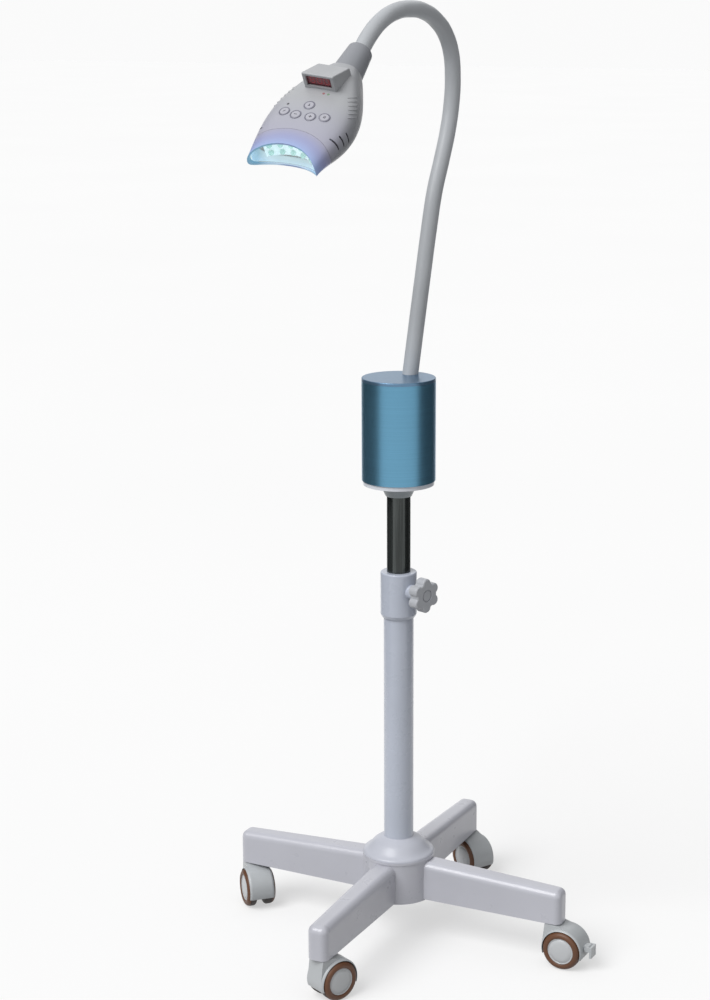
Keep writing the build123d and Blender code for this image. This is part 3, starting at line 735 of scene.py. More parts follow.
@dataclass
class Casters:
    """The twin-wheel casters, with their wheels modelled in full.

    Attributes:
        shop: Where finishes come from.
        wheel_radius: Radius of the tread.
        ring_radius: Inner radius of the brown ring.
        inner: Distance of a wheel's inner face from the caster's middle.
        outer: Distance of its outer face.
    """

    shop: Workshop
    wheel_radius: float = 0.025
    ring_radius: float = 0.0172
    inner: float = 0.00575
    outer: float = 0.0195

    def ring(self) -> Piece:
        """The brown ring on the outer face, with a rounded shoulder.

        Returns:
            The ring, with Z along the axle and its inner side towards the origin.
        """
        width = self.outer - self.inner
        rim = self.wheel_radius
        return turned_form("ring_model", (
            (self.ring_radius, width - 0.0045), (self.ring_radius, width - 0.0011),
            (0.0180, width - 0.0004), (0.0196, width), (0.0212, width - 0.0001),
            (0.0227, width - 0.0010), (0.0239, width - 0.0024), (rim - 0.0003, width - 0.0042),
            (rim - 0.0006, width - 0.0048), (0.0205, width - 0.0048),
        ))

    def tread(self) -> Piece:
        """The dark tread behind the brown ring, with a groove between the two.

        Returns:
            The tread, placed as the ring is.
        """
        width = self.outer - self.inner
        rim = self.wheel_radius
        return turned_form("tread_model", (
            (0.0175, 0.0006), (0.0222, 0.0001), (rim - 0.0012, 0.0010), (rim, 0.0026),
            (rim, width - 0.0056), (rim - 0.0006, width - 0.0050), (0.0205, width - 0.0048),
            (0.0175, width - 0.0048),
        ))

    def cap(self) -> Piece:
        """The pale disc in the middle of a wheel: a shallow dome inside a fine step.

        Returns:
            The disc, placed as the ring is.
        """
        width = self.outer - self.inner
        return turned_form("cap_model", (
            (0.0, width - 0.0002), (0.0060, width - 0.0003), (0.0110, width - 0.0007),
            (0.0146, width - 0.0013), (0.0152, width - 0.0019), (0.0158, width - 0.0019),
            (0.0164, width - 0.0012), (0.0170, width - 0.0014), (0.0171, width - 0.0050),
            (0.0171, 0.0018), (0.0150, 0.0012), (0.0060, 0.0012), (0.0055, 0.0004),
            (0.0032, 0.0004), (0.0031, width - 0.0030), (0.0, width - 0.0030),
        ))

    def axle_frame(self, name: str, side: float) -> Matrix:
        """Finds the frame of one wheel.

        Args:
            name: The leg that carries the caster.
            side: 1 for the wheel that the joint's axis points to, and -1 for the other.

        Returns:
            The frame, with Z along the axle, away from the caster's middle.
        """
        joint = self.shop.joint(f"roll_{name}_a")
        axis = Vector(joint["axis"]) * side
        place = Vector(joint["pos_m"]) + axis * self.inner
        return frame_of(place, (0, 0, 1), axis)

    def build(self) -> None:
        """Builds the wheels and dresses the forks."""
        models = (
            (self.tread(), "tread", Finish.TREAD_RUBBER, "tyre_brown"),
            (self.ring(), "ring", Finish.RING_RUBBER, "tyre_brown"),
            (self.cap(), "cap", Finish.CAP_PLASTIC, "caster_grey"),
        )
        for name in LEGS:
            self.shop.dress(Finish.CASTER_PLASTIC, f"caster_fork_{name}")
            for label, side in (("a", 1.0), ("b", -1.0)):
                body = f"wheel_{name}_{label}"
                place = self.axle_frame(name, side)
                for model, kind, finish, slot in models:
                    replaced = (body,) if kind == "tread" else ()
                    twin = copied(model, f"{kind}_{name}_{label}", place)
                    self.shop.piece(twin, finish, body, slot, *replaced)
        for model, *_ in models:
            bpy.data.objects.remove(model)
        self.shop.dress(Finish.CASTER_PLASTIC, "brake_lever")


# Column and mast


@dataclass
class ColumnAndMast:
    """Column, collar, star knob and the sliding mast.

    Attributes:
        shop: Where finishes come from.
    """

    shop: Workshop

    def build(self) -> None:
        """Dresses the column and the mast."""
        self.shop.dress(Finish.COLUMN_PAINT, "column_tube", "clamp_collar")
        self.shop.dress(Finish.KNOB_PLASTIC, "clamp_knob")
        self.shop.dress(Finish.NYLON, "clamp_pad", "guide_plug")
        self.shop.dress(Finish.MAST, "mast_tube")


# Power housing


@dataclass
class PowerHousing:
    """The blue drum with its lid, ring, flange and switch.

    Attributes:
        shop: Where finishes come from.
    """

    shop: Workshop

    def build(self) -> None:
        """Dresses the housing and what is inside it."""
        self.shop.dress(Finish.HOUSING_BLUE, "housing_shell")
        self.shop.dress(Finish.LID_BLUE, "housing_lid")
        self.shop.dress(Finish.PALE_RING, "base_ring")
        self.shop.dress(Finish.FLANGE_PLASTIC, "housing_flange")
        self.shop.dress(Finish.SUPPLY_METAL, "power_supply")
        self.shop.dress(Finish.BLACK_PLASTIC, "mains_inlet")
        self.shop.dress(Finish.SWITCH_GLOSS, "power_rocker")


# Gooseneck


@dataclass
class Gooseneck:
    """The smooth sleeve of the neck, in one length round each of its joints.

    Attributes:
        shop: Where finishes come from.
        route: Places (y, z) of the neck's centre line, in millimetres.
        radius: Radius of the sleeve.
        reach: How far from a joint the sleeve would bend, on each side; not used.
        root_depth: How far the sleeve goes down into the lid's boss.
        spindle_depth: How far it goes into the cuff.
        line_steps: Steps between two places of the route.
        aim_steps: Steps on each side of a joint between which the neck's direction is read; not
            used.
    """

    shop: Workshop
    route: tuple[tuple[float, float], ...] = (
        (28.3, 736.8), (43.0, 795.0), (58.5, 855.0), (73.5, 912.0), (87.5, 958.0),
        (105.0, 996.0), (120.0, 1031.0), (129.5, 1066.0), (131.8, 1096.0), (127.5, 1124.0),
        (113.5, 1147.0), (91.0, 1163.5), (60.0, 1174.8), (26.0, 1177.8), (-9.0, 1174.3),
        (-41.5, 1163.3), (-67.0, 1147.2), (-86.0, 1130.0),
    )
    radius: float = 0.010
    reach: float = 0.030
    root_depth: float = 0.018
    spindle_depth: float = 0.0035
    line_steps: int = 16
    aim_steps: int = 3

    def line(self) -> list[Vector]:
        """Reads close places along the neck's centre line from a smooth curve.

        Returns:
            The places, from the lid to the cuff.
        """
        clear_selection()
        bpy.ops.curve.primitive_bezier_curve_add()
        obj = bpy.context.object
        spline = obj.data.splines[0]
        spline.bezier_points.add(len(self.route) - 2)
        for knot, (y, z) in zip(spline.bezier_points, self.route):
            knot.co = (0, y / 1000, z / 1000)
            knot.handle_left_type = "AUTO"
            knot.handle_right_type = "AUTO"
        obj.data.resolution_u = self.line_steps
        mesh = bpy.data.meshes.new_from_object(obj)
        places = [v.co.copy() for v in mesh.vertices]
        bpy.data.objects.remove(obj)
        bpy.data.meshes.remove(mesh)
        return places

    def build(self) -> None:
        """Builds one sleeve length for each joint of the neck."""
        places = self.line()
        start = (places[0] - places[1]).normalized()
        end = (places[-1] - places[-2]).normalized()
        pivots = [Vector(self.shop.joint(f"neck_bend_{i}")["pos_m"]) for i in range(1, 7)]
        at = [min(range(len(places)), key=lambda k: (places[k] - pivot).length)
              for pivot in pivots]
        cuts = [0] + [(a + b) // 2 for a, b in zip(at, at[1:])] + [len(places) - 1]
        for i, pivot in enumerate(pivots):
            low, high = cuts[i], cuts[i + 1]
            run = places[low:high + 1]
            replaced = [f"neck_link_{i + 1}"]
            if i == 0:
                run = [places[0] + start * self.root_depth] + run
                replaced.append("neck_root")
                first = -start
            else:
                first = places[low + 1] - places[low - 1]
            if i == len(pivots) - 1:
                run = run + [places[-1] + end * self.spindle_depth]
                last = end
            else:
                last = places[high + 1] - places[high - 1]
            thinned = run[:1] + run[2:-2:2] + run[-1:]
            name = f"neck_sleeve_{i + 1}"
            obj = settle(drawn_tube(name, thinned, self.radius, 10, 2, (first, last)))
            self.shop.piece(obj, Finish.NECK_SLEEVE, "", "neck_grey")
            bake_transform(obj)
            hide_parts(*replaced)


# Light head


HEAD_ORIGIN = (0.0, -0.086, 1.130)
HEAD_X = (0.9863, 0.1083, -0.1246)
HEAD_Z = (0.165, -0.6471, 0.7444)
HEAD_PLACE = frame_of(HEAD_ORIGIN, HEAD_X, HEAD_Z)
HEAD_TURN = tuple(HEAD_PLACE.to_euler("XYZ"))
SKIN = ("top_shell", "bottom_shell", "front_bezel")
SIDES = ((1.0, "right"), (-1.0, "left"))

# Where the finishes of the head change, and where its painted shade and painted glow lie, in metres
# in its own frame.
MOUTH_LEVEL = 0.012
MOUTH_REACH = 0.242
MOUTH_GLOW = (0.077, 0.054)
INNER_WALL = (-0.001, -0.006)
LILAC_REACH = (0.11, 0.175)
# Levels between which painted shade darkens the head's side.
PAINTED_SHADE_LEVEL = (0.026, 0.006)
LAMP_SPREAD = (-0.03, 0.02)


class HeadNet(ShaderNet):
    """A material's net that also knows places in the head's own frame."""

    def __init__(self, name: str) -> None:
        """Starts the material and separates the place.

        Args:
            name: Name of the material.
        """
        super().__init__(name)
        split = self.add("ShaderNodeSeparateXYZ")
        self.join(self.mapped(centre=HEAD_ORIGIN, turn=HEAD_TURN), split.inputs["Vector"])
        self.across, self.back, self.level = split.outputs

    def reach(self) -> Socket:
        """Distance from the neck's end towards the mouth."""
        return self.combine("MULTIPLY", self.back, -1.0)

    def inward(self) -> Socket:
        """Finds the bezel's inner walls, which take painted light, by the way that they face.

        Returns:
            One on walls that face the mouth's middle line, and nought on the outer skin.
        """
        facing = self.add("ShaderNodeTexCoord").outputs["Normal"]
        parts = []
        for axis, place, middle in ((HEAD_X, self.across, 0.0), (HEAD_Z, self.level, MOUTH_LEVEL)):
            along = self.add("ShaderNodeVectorMath", operation="DOT_PRODUCT")
            self.join(facing, along.inputs[0])
            along.inputs[1].default_value = axis
            away = self.combine("ADD", place, -middle)
            parts.append(self.combine("MULTIPLY", along.outputs["Value"], away))
        return self.span(self.combine("ADD", *parts), *INNER_WALL)


def head_shell_material() -> Material:
    """Pale moulded plastic, slightly lilac towards the light, with painted shade that darkens it
    low on its side.

    Returns:
        The material.
    """
    net = HeadNet("head_shell_plastic")
    base = net.mottle(11.0, 3.0, (0.37, 0.38, 0.40), (0.415, 0.425, 0.44))
    lilac = net.mix(net.span(net.reach(), *LILAC_REACH), base, (0.385, 0.385, 0.47))
    # Painted shade: the colour darkens low on the head's side.
    tone = net.mix(net.span(net.level, *PAINTED_SHADE_LEVEL), lilac, (0.27, 0.28, 0.30))
    net.paint(tone, net.span(net.noise(40.0, 4.0), 0.3, 0.7, 0.30, 0.42))
    net.relief(net.noise(1600.0, 2.0), 0.00004)
    net.constant(IOR=1.48)
    return net.material


def bezel_material() -> Material:
    """Lavender translucent plastic with painted light: a faint glow that grows near the mouth, and
    a stronger glow on the inner walls, palest low on the lip, in place of light from the board.

    Returns:
        The material.
    """
    net = HeadNet("bezel_painted_glow_plastic")
    ahead = net.combine("ADD", net.reach(), -MOUTH_REACH)
    squares = [net.combine("MULTIPLY", leg, leg) for leg in (net.across, ahead)]
    radius = net.combine("SQRT", net.combine("ADD", *squares), 0.0)
    near = net.span(radius, *MOUTH_GLOW)
    skin = ((0.0, (0.36, 0.36, 0.46)), (0.45, (0.31, 0.33, 0.50)), (1.0, (0.30, 0.36, 0.56)))
    net.paint(net.ramp(near, skin), 0.30)
    # Painted light: a faint glow that grows towards the mouth.
    painted_mouth_glow = ((0.0, (0.0, 0.0, 0.01)), (0.6, (0.02, 0.03, 0.09)), (1.0, (0.06, 0.12, 0.24)))
    # Painted light on the inner walls, palest low on the lip, in place of the board's light.
    painted_wall_glow = net.mottle(60.0, 2.0, (0.04, 0.24, 0.30), (0.07, 0.30, 0.37))
    low = net.span(net.level, MOUTH_LEVEL, MOUTH_LEVEL / 3)
    lit = net.mix(low, painted_wall_glow, (0.52, 0.68, 0.72))
    net.glow(net.mix(net.inward(), net.ramp(near, painted_mouth_glow), lit), 0.6)
    net.relief(net.noise(1400.0, 2.0), 0.00003)
    net.constant(IOR=1.48)
    return net.material


def window_material() -> Material:
    """Frosted window that spreads the light of the emitters behind it.

    Returns:
        The material.
    """
    net = ShaderNet("light_window_frosted")
    net.paint(net.mottle(20.0, 2.0, (0.86, 0.96, 1.0), (0.92, 0.98, 1.0)), 0.12)
    net.glow(net.mottle(45.0, 3.0, (0.17, 0.20, 0.20), (0.22, 0.25, 0.25)), 0.6)
    net.constant(Transmission_Weight=1.0, IOR=1.18)
    return net.material


def board_material() -> Material:
    """White board, lit by its own emitters.

    Returns:
        The material.
    """
    net = ShaderNet("led_board_white")
    net.paint(net.mottle(300.0, 3.0, (0.58, 0.66, 0.66), (0.66, 0.74, 0.74)), 0.4)
    net.glow(net.mottle(120.0, 2.0, (0.66, 0.64, 0.62), (0.90, 0.84, 0.82), 0.35, 0.65), 0.16)
    return net.material


def emitter_material() -> Material:
    """Bright lens, paler and greener in cloudy patches.

    Returns:
        The material.
    """
    net = ShaderNet("led_lens_glow")
    net.paint(net.mottle(500.0, 2.0, (0.14, 0.34, 0.28), (0.26, 0.46, 0.40)), 0.15)
    patches = ((0.36, (0.40, 0.62, 0.56)), (0.52, (0.16, 0.36, 0.30)), (0.68, (0.55, 0.72, 0.68)))
    net.glow(net.ramp(net.noise(210.0, 3.0), patches), 0.3)
    return net.material


def display_material() -> Material:
    """Dark red window under the figures.

    Returns:
        The material.
    """
    net = ShaderNet("display_red_window")
    net.paint(net.mottle(60.0, 3.0, (0.155, 0.040, 0.052), (0.205, 0.058, 0.072)), 0.18)
    net.constant(Coat_Weight=0.4)
    return net.material


def figure_material() -> Material:
    """Lit red segment.

    Returns:
        The material.
    """
    net = ShaderNet("display_figure_red")
    net.paint(net.mottle(400.0, 2.0, (0.24, 0.045, 0.055), (0.30, 0.060, 0.070)), 0.4)
    net.glow(net.mottle(300.0, 2.0, (0.5, 0.04, 0.06), (0.7, 0.09, 0.10), 0.2, 0.8), 0.12)
    return net.material


def circuit_material() -> Material:
    """Green circuit board with fine tracks.

    Returns:
        The material.
    """
    net = ShaderNet("circuit_green")
    tracks = net.pattern("ShaderNodeTexBrick", 260.0)
    net.paint(net.ramp(tracks, ((0.3, (0.01, 0.09, 0.035)), (0.8, (0.06, 0.2, 0.08)))), 0.35)
    return net.material


def lamp_material() -> Material:
    """Small indicator lens: the front one red, its neighbour green, the third dark.

    Returns:
        The material.
    """
    net = HeadNet("indicator_lens")
    dark, red, green = (0.06, 0.06, 0.07), (0.36, 0.17, 0.18), (0.22, 0.34, 0.23)
    stops = ((0.0, dark), (0.55, dark), (0.56, red), (0.80, red), (0.81, green))
    net.paint(net.ramp(net.span(net.across, *LAMP_SPREAD), stops), 0.2)
    net.relief(net.noise(900.0), 0.00002)
    return net.material


def gauze_material() -> Material:
    """Fine black gauze with a close weave.

    Returns:
        The material.
    """
    net = ShaderNet("slot_gauze_black")
    weave = net.pattern("ShaderNodeTexChecker", 2600.0)
    net.paint(net.ramp(weave, ((0.2, (0.008, 0.007, 0.012)), (0.8, (0.020, 0.018, 0.032)))), 0.7)
    net.relief(weave, 0.00005)
    return net.material


@dataclass
class LightHead:
    """The head: shells, lit mouth, keypad, display and grips.

    Attributes:
        shop: Where finishes come from.
        buttons: Places (across, reach) of the buttons.
        marks: Strokes (across, up, width, height, turn in degrees) of each button's mark.
        mark_depth: Depth of a stroke.
        mark_edge: Rounding of a stroke.
        collar_radius: Outer radius of a button's collar.
        rib_count: Grip ribs on each side.
        rib_high: Upper end (across, reach, level) of the first rib.
        rib_low: Its lower end.
        rib_high_step: How far the upper end moves from rib to rib.
        rib_low_step: How far the lower end moves.
        rib_radius: Radius of a rib.
        rib_sink: Depth of a rib's middle line under the skin.
        side_steps: Lengths between the places read for a rib or a gauze.
        middle_level: Level of the head's middle, at which sideways places are aimed.
        ray_length: How far outside the head those places are looked for.
        slots: Places (reach, level) of the air slots' middles.
        slot_side: Place across the head at which the slots are aimed.
        slot_edge: Distance from a slot's middle to the skin beside it.
        slot_reach: Half the length of a slot's gauze.
        slot_half_width: Half its width.
        slot_proud: How far its crown stands over the skin beside the slot.
        sensor_place: Place (across, reach) of the sensor's window.
        sensor_size: Its width, length and depth.
        sensor_edge: Its rounding.
        figure_height: Height of a figure on the display.
        figure_width: Its width.
        figure_stroke: Width of its bars.
        figure_depth: Their depth.
        figure_edge: Their rounding.
        figure_pitch: Distance between figures.
        figure_proud: How far the bars' middle stands ahead of the window.
    """

    shop: Workshop
    buttons: tuple[tuple[float, float], ...] = (
        (-0.025, 0.1396), (-0.0091, 0.1428), (0.0091, 0.1428), (0.025, 0.1396), (0.0, 0.1256))
    marks: tuple[tuple[tuple[float, ...], ...], ...] = (
        ((0.0, 0.0, 0.0034, 0.0007, 45.0),),
        ((0.0, 0.0, 0.0036, 0.0007, 0.0),),
        ((0.0, 0.0, 0.0036, 0.0007, 0.0), (0.0, 0.0, 0.0007, 0.0036, 0.0)),
        ((-0.0007, 0.0, 0.0007, 0.0034, 0.0), (0.0009, 0.0, 0.0007, 0.0034, 0.0)),
        ((0.0, 0.0006, 0.0007, 0.0026, 0.0), (0.0, -0.0010, 0.0026, 0.0007, 0.0)))
    mark_depth: float = 0.0006
    mark_edge: float = 0.00015
    collar_radius: float = 0.0066
    rib_count: int = 6
    rib_high: tuple[float, float, float] = (0.0340, 0.0998, 0.0279)
    rib_low: tuple[float, float, float] = (0.0388, 0.0894, 0.0202)
    rib_high_step: tuple[float, float, float] = (0.00232, 0.00544, -0.00044)
    rib_low_step: tuple[float, float, float] = (0.00198, 0.00498, -0.00098)
    rib_radius: float = 0.0009
    rib_sink: float = 0.0002
    side_steps: int = 6
    middle_level: float = 0.018
    ray_length: float = 0.2
    slots: tuple[tuple[float, float], ...] = ((0.165, 0.0225), (0.1545, 0.0177), (0.144, 0.0129))
    slot_side: float = 0.05
    slot_edge: float = 0.0022
    slot_reach: float = 0.0068
    slot_half_width: float = 0.0010
    slot_proud: float = 0.0001
    sensor_place: tuple[float, float] = (-0.0268, 0.1270)
    sensor_size: tuple[float, float, float] = (0.0044, 0.0038, 0.0012)
    sensor_edge: float = 0.0004
    figure_height: float = 0.0090
    figure_width: float = 0.0052
    figure_stroke: float = 0.0011
    figure_depth: float = 0.0005
    figure_edge: float = 0.00018
    figure_pitch: float = 0.0088
    figure_proud: float = 0.0001

    def surface(self, across: float, reach: float, level: float | None = None,
                nodes: Sequence[str] = SKIN) -> tuple[Vector, Vector]:
        """Finds a place on the head's skin.

        Args:
            across: Place across the head.
            reach: Distance from the neck's end towards the mouth.
            level: Height of a place on the head's side, or None for its top.
            nodes: The nodes that are looked at.

        Returns:
            The place and the skin's outward direction, in the row frame.
        """
        if level is None:
            aim = Vector((across, -reach, 0))
            far = Vector((0, 0, 1))
        else:
            aim = Vector((0, -reach, self.middle_level))
            far = (Vector((across, -reach, level)) - aim).normalized()
        start = HEAD_PLACE @ (aim + far * self.ray_length)
        way = HEAD_PLACE.to_3x3() @ -far
        hits = []
        for node in nodes:
            found, place, normal, _ = self.shop.frame["nodes"][node].ray_cast(start, way)
            if found:
                outward = normal if normal.dot(way) < 0 else -normal
                hits.append(((place - start).length, place, outward))
        if not hits:
            raise ValueError(f"nothing of {nodes} at {across}, {reach}")
        _, place, normal = min(hits, key=lambda h: h[0])
        return place, normal

    def add_collars(self) -> None:
        """Adds the raised ring round each button."""
        rim = self.collar_radius
        model = turned_form("collar_model", (
            (0.00525, -0.0012), (0.00525, 0.0007), (0.0055, 0.0010), (0.0061, 0.0010),
            (rim, 0.0006), (rim, -0.0012)), 48)
        for i, (x, reach) in enumerate(self.buttons, 1):
            spots = [self.surface(x + dx * rim, reach + dy * rim)
                     for dx, dy in ((1, 0), (-1, 0), (0, 1), (0, -1))]
            middle = sum((s[0] for s in spots), Vector()) / len(spots)
            up = sum((s[1] for s in spots), Vector()).normalized()
            twin = copied(model, f"button_collar_{i}", frame_of(middle, HEAD_X, up))
            self.shop.piece(twin, Finish.COLLAR_PLASTIC, "head", "button_grey")
        bpy.data.objects.remove(model)

    def add_marks(self) -> None:
        """Adds a plain raised mark on each button."""
        for index, strokes in enumerate(self.marks, 1):
            body = f"button_{index}"
            place, up = self.surface(*self.buttons[index - 1], nodes=(body,))
            frame = frame_of(place, HEAD_X, up)
            for k, (x, y, width, height, turn) in enumerate(strokes, 1):
                stroke = bar(f"button_mark_{index}_{k}", (width, height, self.mark_depth))
                soften(stroke, self.mark_edge)
                turned = Matrix.Rotation(math.radians(turn), 4, "Z")
                settle(stroke, frame @ (Matrix.Translation((x, y, 0.0)) @ turned))
                self.shop.piece(stroke, Finish.MARK_INK, body, "button_grey")

    def add_grips(self) -> None:
        """Adds low ribs on each side of the head, from its shoulder down its side."""
        steps = self.side_steps
        for side, label in SIDES:
            for i in range(self.rib_count):
                high = [a + i * step for a, step in zip(self.rib_high, self.rib_high_step)]
                low = [a + i * step for a, step in zip(self.rib_low, self.rib_low_step)]
                places = []
                for k in range(steps + 1):
                    across, reach, level = (a + (b - a) * k / steps for a, b in zip(high, low))
                    place, normal = self.surface(side * across, reach, level)
                    places.append(place - normal * self.rib_sink)
                rib = drawn_tube(f"grip_rib_{label}_{i + 1}", places, self.rib_radius, 3, 3)
                self.shop.piece(settle(rib), head_shell_material, "head", "head_plastic")

    def add_gauzes(self) -> None:
        """Adds dark dust gauze that fills each air slot."""
        steps = self.side_steps
        for side, label in SIDES:
            for i, (reach, level) in enumerate(self.slots, 1):
                places = []
                for k in range(steps + 1):
                    height = level + (2 * k / steps - 1) * self.slot_reach
                    pair = [self.surface(side * self.slot_side, reach + shift, height)
                            for shift in (-self.slot_edge, self.slot_edge)]
                    middle = (pair[0][0] + pair[1][0]) / 2
                    normal = (pair[0][1] + pair[1][1]).normalized()
                    places.append(middle - normal * (self.slot_half_width - self.slot_proud))
                name = f"slot_gauze_{label}_{i}"
                strip = settle(drawn_tube(name, places, self.slot_half_width, 3, 3))
                self.shop.piece(strip, gauze_material, "head", "black_nylon")

    def add_sensor(self) -> None:
        """Adds the small dark window beside the keys."""
        place, up = self.surface(*self.sensor_place)
        pane = soften(bar("sensor_pane", self.sensor_size), self.sensor_edge, 3)
        settle(pane, frame_of(place, HEAD_X, up))
        self.shop.piece(pane, Finish.MARK_INK, "head", "black_nylon")

    def add_figures(self) -> None:
        """Adds seven-bar figures on the dark window's face."""
        window = self.shop.frame["nodes"]["display_window"].data.vertices
        local = [HEAD_PLACE.inverted() @ v.co for v in window]
        front = min(v.y for v in local) - self.figure_proud
        middle = (min(v.z for v in local) + max(v.z for v in local)) / 2
        width, height, stroke = self.figure_width, self.figure_height, self.figure_stroke
        lying = (width - stroke, self.figure_depth, stroke)
        upright = (stroke, self.figure_depth, height / 2 - stroke)
        bars = ((0, 1, lying), (0, 0, lying), (0, -1, lying), (-1, 0.5, upright),
                (1, 0.5, upright), (-1, -0.5, upright), (1, -0.5, upright))
        eight, nought = range(7), (0, 2, 3, 4, 5, 6)
        for digit, lit in enumerate((eight, nought, nought)):
            centre = (digit - 1) * self.figure_pitch
            for k in lit:
                x, z, size = bars[k]
                place = (centre + x * width / 2, front, middle + z * height / 2)
                segment = bar(f"figure_{digit + 1}_{k + 1}", size, place)
                settle(soften(segment, self.figure_edge), HEAD_PLACE)
                self.shop.piece(segment, figure_material, "head", "display_glass")

    def build(self) -> None:
        """Dresses the head and adds its fine pieces."""
        shop = self.shop
        shop.dress(head_shell_material, "top_shell", "bottom_shell", "display_hood")
        shop.dress(Finish.CUFF_PLASTIC, "head_cuff")
        shop.dress(bezel_material, "front_bezel")
        shop.dress(window_material, "light_window")
        shop.dress(board_material, "led_board")
        shop.dress(emitter_material, "led_emitters")
        shop.dress(Finish.SINK_METAL, "heat_sink")
        shop.dress(circuit_material, "control_board")
        shop.dress(display_material, "display_window")
        shop.dress(lamp_material, "indicator_lamps")
        shop.dress(Finish.BLACK_PLASTIC, "fan_frame", "fan_rotor")
        shop.dress(Finish.BUTTON_PLASTIC, *[f"button_{i}" for i in range(1, 6)])
        self.add_collars()
        self.add_marks()
        self.add_grips()
        self.add_gauzes()
        self.add_sensor()
        self.add_figures()


# Studio


def shown_share(tree: bpy.types.NodeTree) -> Socket:
    """Tells the rays that show the background from those that light the lamp.

    Args:
        tree: The node tree of a material or a world.

    Returns:
        One for rays that show it, straight or in metal and glass, and nought for the others.
    """
    path = tree.nodes.new("ShaderNodeLightPath")
    share = path.outputs["Is Camera Ray"]
    for name in ("Is Glossy Ray", "Is Transmission Ray"):
        total = tree.nodes.new("ShaderNodeMath")
        total.operation = "ADD"
        total.use_clamp = True
        tree.links.new(share, total.inputs[0])
        tree.links.new(path.outputs[name], total.inputs[1])
        share = total.outputs[0]
    return share


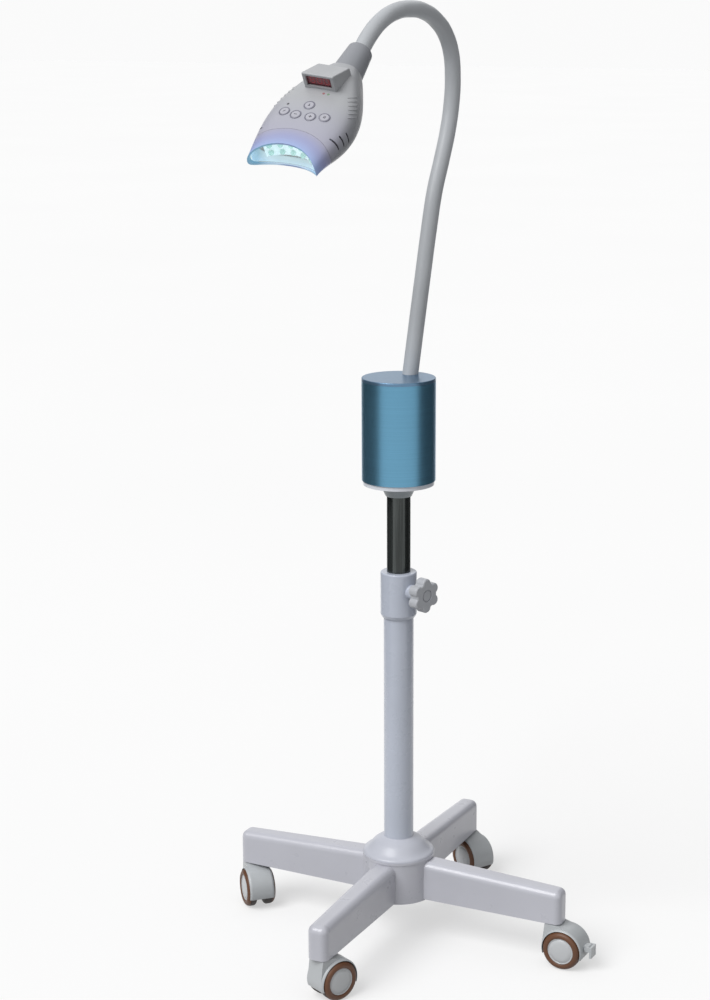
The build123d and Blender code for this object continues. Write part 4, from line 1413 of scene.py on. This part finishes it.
@dataclass
class Studio:
    """Floor, soft light, and the camera at the photograph's viewpoint.

    Attributes:
        azimuth: Camera's turn round the lamp, in degrees.
        distance: Its level distance from the column axis.
        height: Its height above the floor.
        pitch: How far it looks down, in radians.
        lens: Focal length in millimetres.
        sensor: Width of its sensor in millimetres.
        shift: Sideways shift of the picture, as a share of its long side.
        sight: How far it sees.
        floor_size: Side of the floor.
        shown_floor: The floor's own light for the rays that show it.
        flag_gap: Distance of each dark cloth from the lamp's middle.
        flag_near: How far a cloth reaches towards the camera.
        flag_far: How far it reaches back.
        flag_height: Its height.
        key: Strength of the key light.
        key_angle: Its apparent size in degrees, which softens its shadows.
        key_from: Direction that it comes from.
        fill: Strength of the even fill.
        backdrop: Strength of the world for the rays that show it.
    """

    azimuth: float = 30.732
    distance: float = 2.4475
    height: float = 1.1707
    pitch: float = 0.23645
    lens: float = 72.47
    sensor: float = 36.0
    shift: float = -0.0437
    sight: float = 200.0
    floor_size: float = 80.0
    shown_floor: Colour = (0.515, 0.515, 0.515)
    flag_gap: float = 1.0
    flag_near: float = 0.56
    flag_far: float = 1.7
    flag_height: float = 2.4
    key: float = 2.4
    key_angle: float = 40.0
    key_from: tuple[float, float, float] = (-0.27, -0.88, 1.04)
    fill: float = 0.48
    backdrop: float = 0.96

    def camera(self) -> None:
        """Makes the camera."""
        data = bpy.data.cameras.new("camera")
        cam = bpy.data.objects.new("camera", data)
        bpy.context.scene.collection.objects.link(cam)
        turn = math.radians(self.azimuth)
        cam.location = (self.distance * math.sin(turn), -self.distance * math.cos(turn),
                        self.height)
        cam.rotation_euler = (math.pi / 2 - self.pitch, 0, turn)
        data.sensor_width = self.sensor
        data.lens = self.lens
        data.shift_x = self.shift
        data.clip_end = self.sight
        bpy.context.scene.camera = cam

    def floor(self) -> None:
        """Makes the plain pale floor."""
        clear_selection()
        bpy.ops.mesh.primitive_plane_add(size=self.floor_size, location=(0, 0, 0))
        floor = bpy.context.object
        floor.name = "studio_floor"
        net = ShaderNet("studio_floor_paint")
        tone = net.mottle(0.7, 2.0, (0.425, 0.425, 0.425), (0.435, 0.435, 0.435))
        shown = shown_share(net.tree)
        net.paint(net.mix(shown, (0.38, 0.38, 0.38), tone), 0.9)
        net.glow(net.mix(shown, (0.0, 0.0, 0.0), self.shown_floor), 1.0)
        net.constant(Specular_IOR_Level=0.0)
        floor.data.materials.append(net.material)

    def flags(self) -> None:
        """Stands a dark cloth on each side, which only the lamp's glossy surfaces mirror."""
        net = ShaderNet("studio_flag_cloth")
        net.paint(net.mottle(40.0, 3.0, (0.050, 0.054, 0.058), (0.075, 0.080, 0.085)), 0.9)
        net.constant(Specular_IOR_Level=0.0)
        turn = math.radians(self.azimuth)
        right = Vector((math.cos(turn), math.sin(turn), 0))
        ahead = Vector((math.sin(turn), -math.cos(turn), 0))
        up = Vector((0, 0, 1))
        scale = Matrix.Diagonal((self.flag_near + self.flag_far, self.flag_height, 1.0, 1.0))
        for name, side in (("flag_left", -1.0), ("flag_right", 1.0)):
            middle = (right * side * self.flag_gap + ahead * (self.flag_near - self.flag_far) / 2
                      + up * (self.flag_height / 2))
            clear_selection()
            bpy.ops.mesh.primitive_plane_add(size=1.0)
            flag = bpy.context.object
            flag.name = name
            stand = Matrix((ahead, up, right * side)).transposed().to_4x4()
            settle(flag, Matrix.Translation(middle) @ stand @ scale)
            flag.data.materials.append(net.material)
            flag.visible_camera = False
            flag.visible_diffuse = False
            flag.visible_transmission = False
            flag.visible_shadow = False

    def light(self) -> None:
        """Makes a soft key from above the photograph's left and an even fill."""
        data = bpy.data.lights.new("key", "SUN")
        data.energy = self.key
        data.angle = math.radians(self.key_angle)
        lamp = bpy.data.objects.new("key", data)
        bpy.context.scene.collection.objects.link(lamp)
        lamp.rotation_mode = "QUATERNION"
        lamp.rotation_quaternion = Vector(self.key_from).to_track_quat("Z", "Y")
        scene_world = bpy.data.worlds.new("studio_world")
        bpy.context.scene.world = scene_world
        scene_world.use_nodes = True
        tree = scene_world.node_tree
        back = tree.nodes["Background"]
        back.inputs["Color"].default_value = (1, 1, 1, 1)
        level = tree.nodes.new("ShaderNodeMapRange")
        level.inputs["To Min"].default_value = self.fill
        level.inputs["To Max"].default_value = self.backdrop
        tree.links.new(shown_share(tree), level.inputs["Value"])
        tree.links.new(level.outputs["Result"], back.inputs["Strength"])

    def build(self) -> None:
        """Sets up the picture."""
        self.camera()
        self.floor()
        self.flags()
        self.light()
        bpy.context.scene.view_settings.view_transform = "Standard"


def main() -> None:
    """Builds the dressed lamp in order."""
    logging.basicConfig(level=logging.INFO, format="%(name)s: %(message)s")
    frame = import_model()
    Studio().build()
    shop = Workshop(frame)
    for part in (RollingBase, Casters, ColumnAndMast, PowerHousing, Gooseneck, LightHead):
        part(shop).build()
        LOG.info("finished %s", part.__name__)


if __name__ == "__main__":
    main()
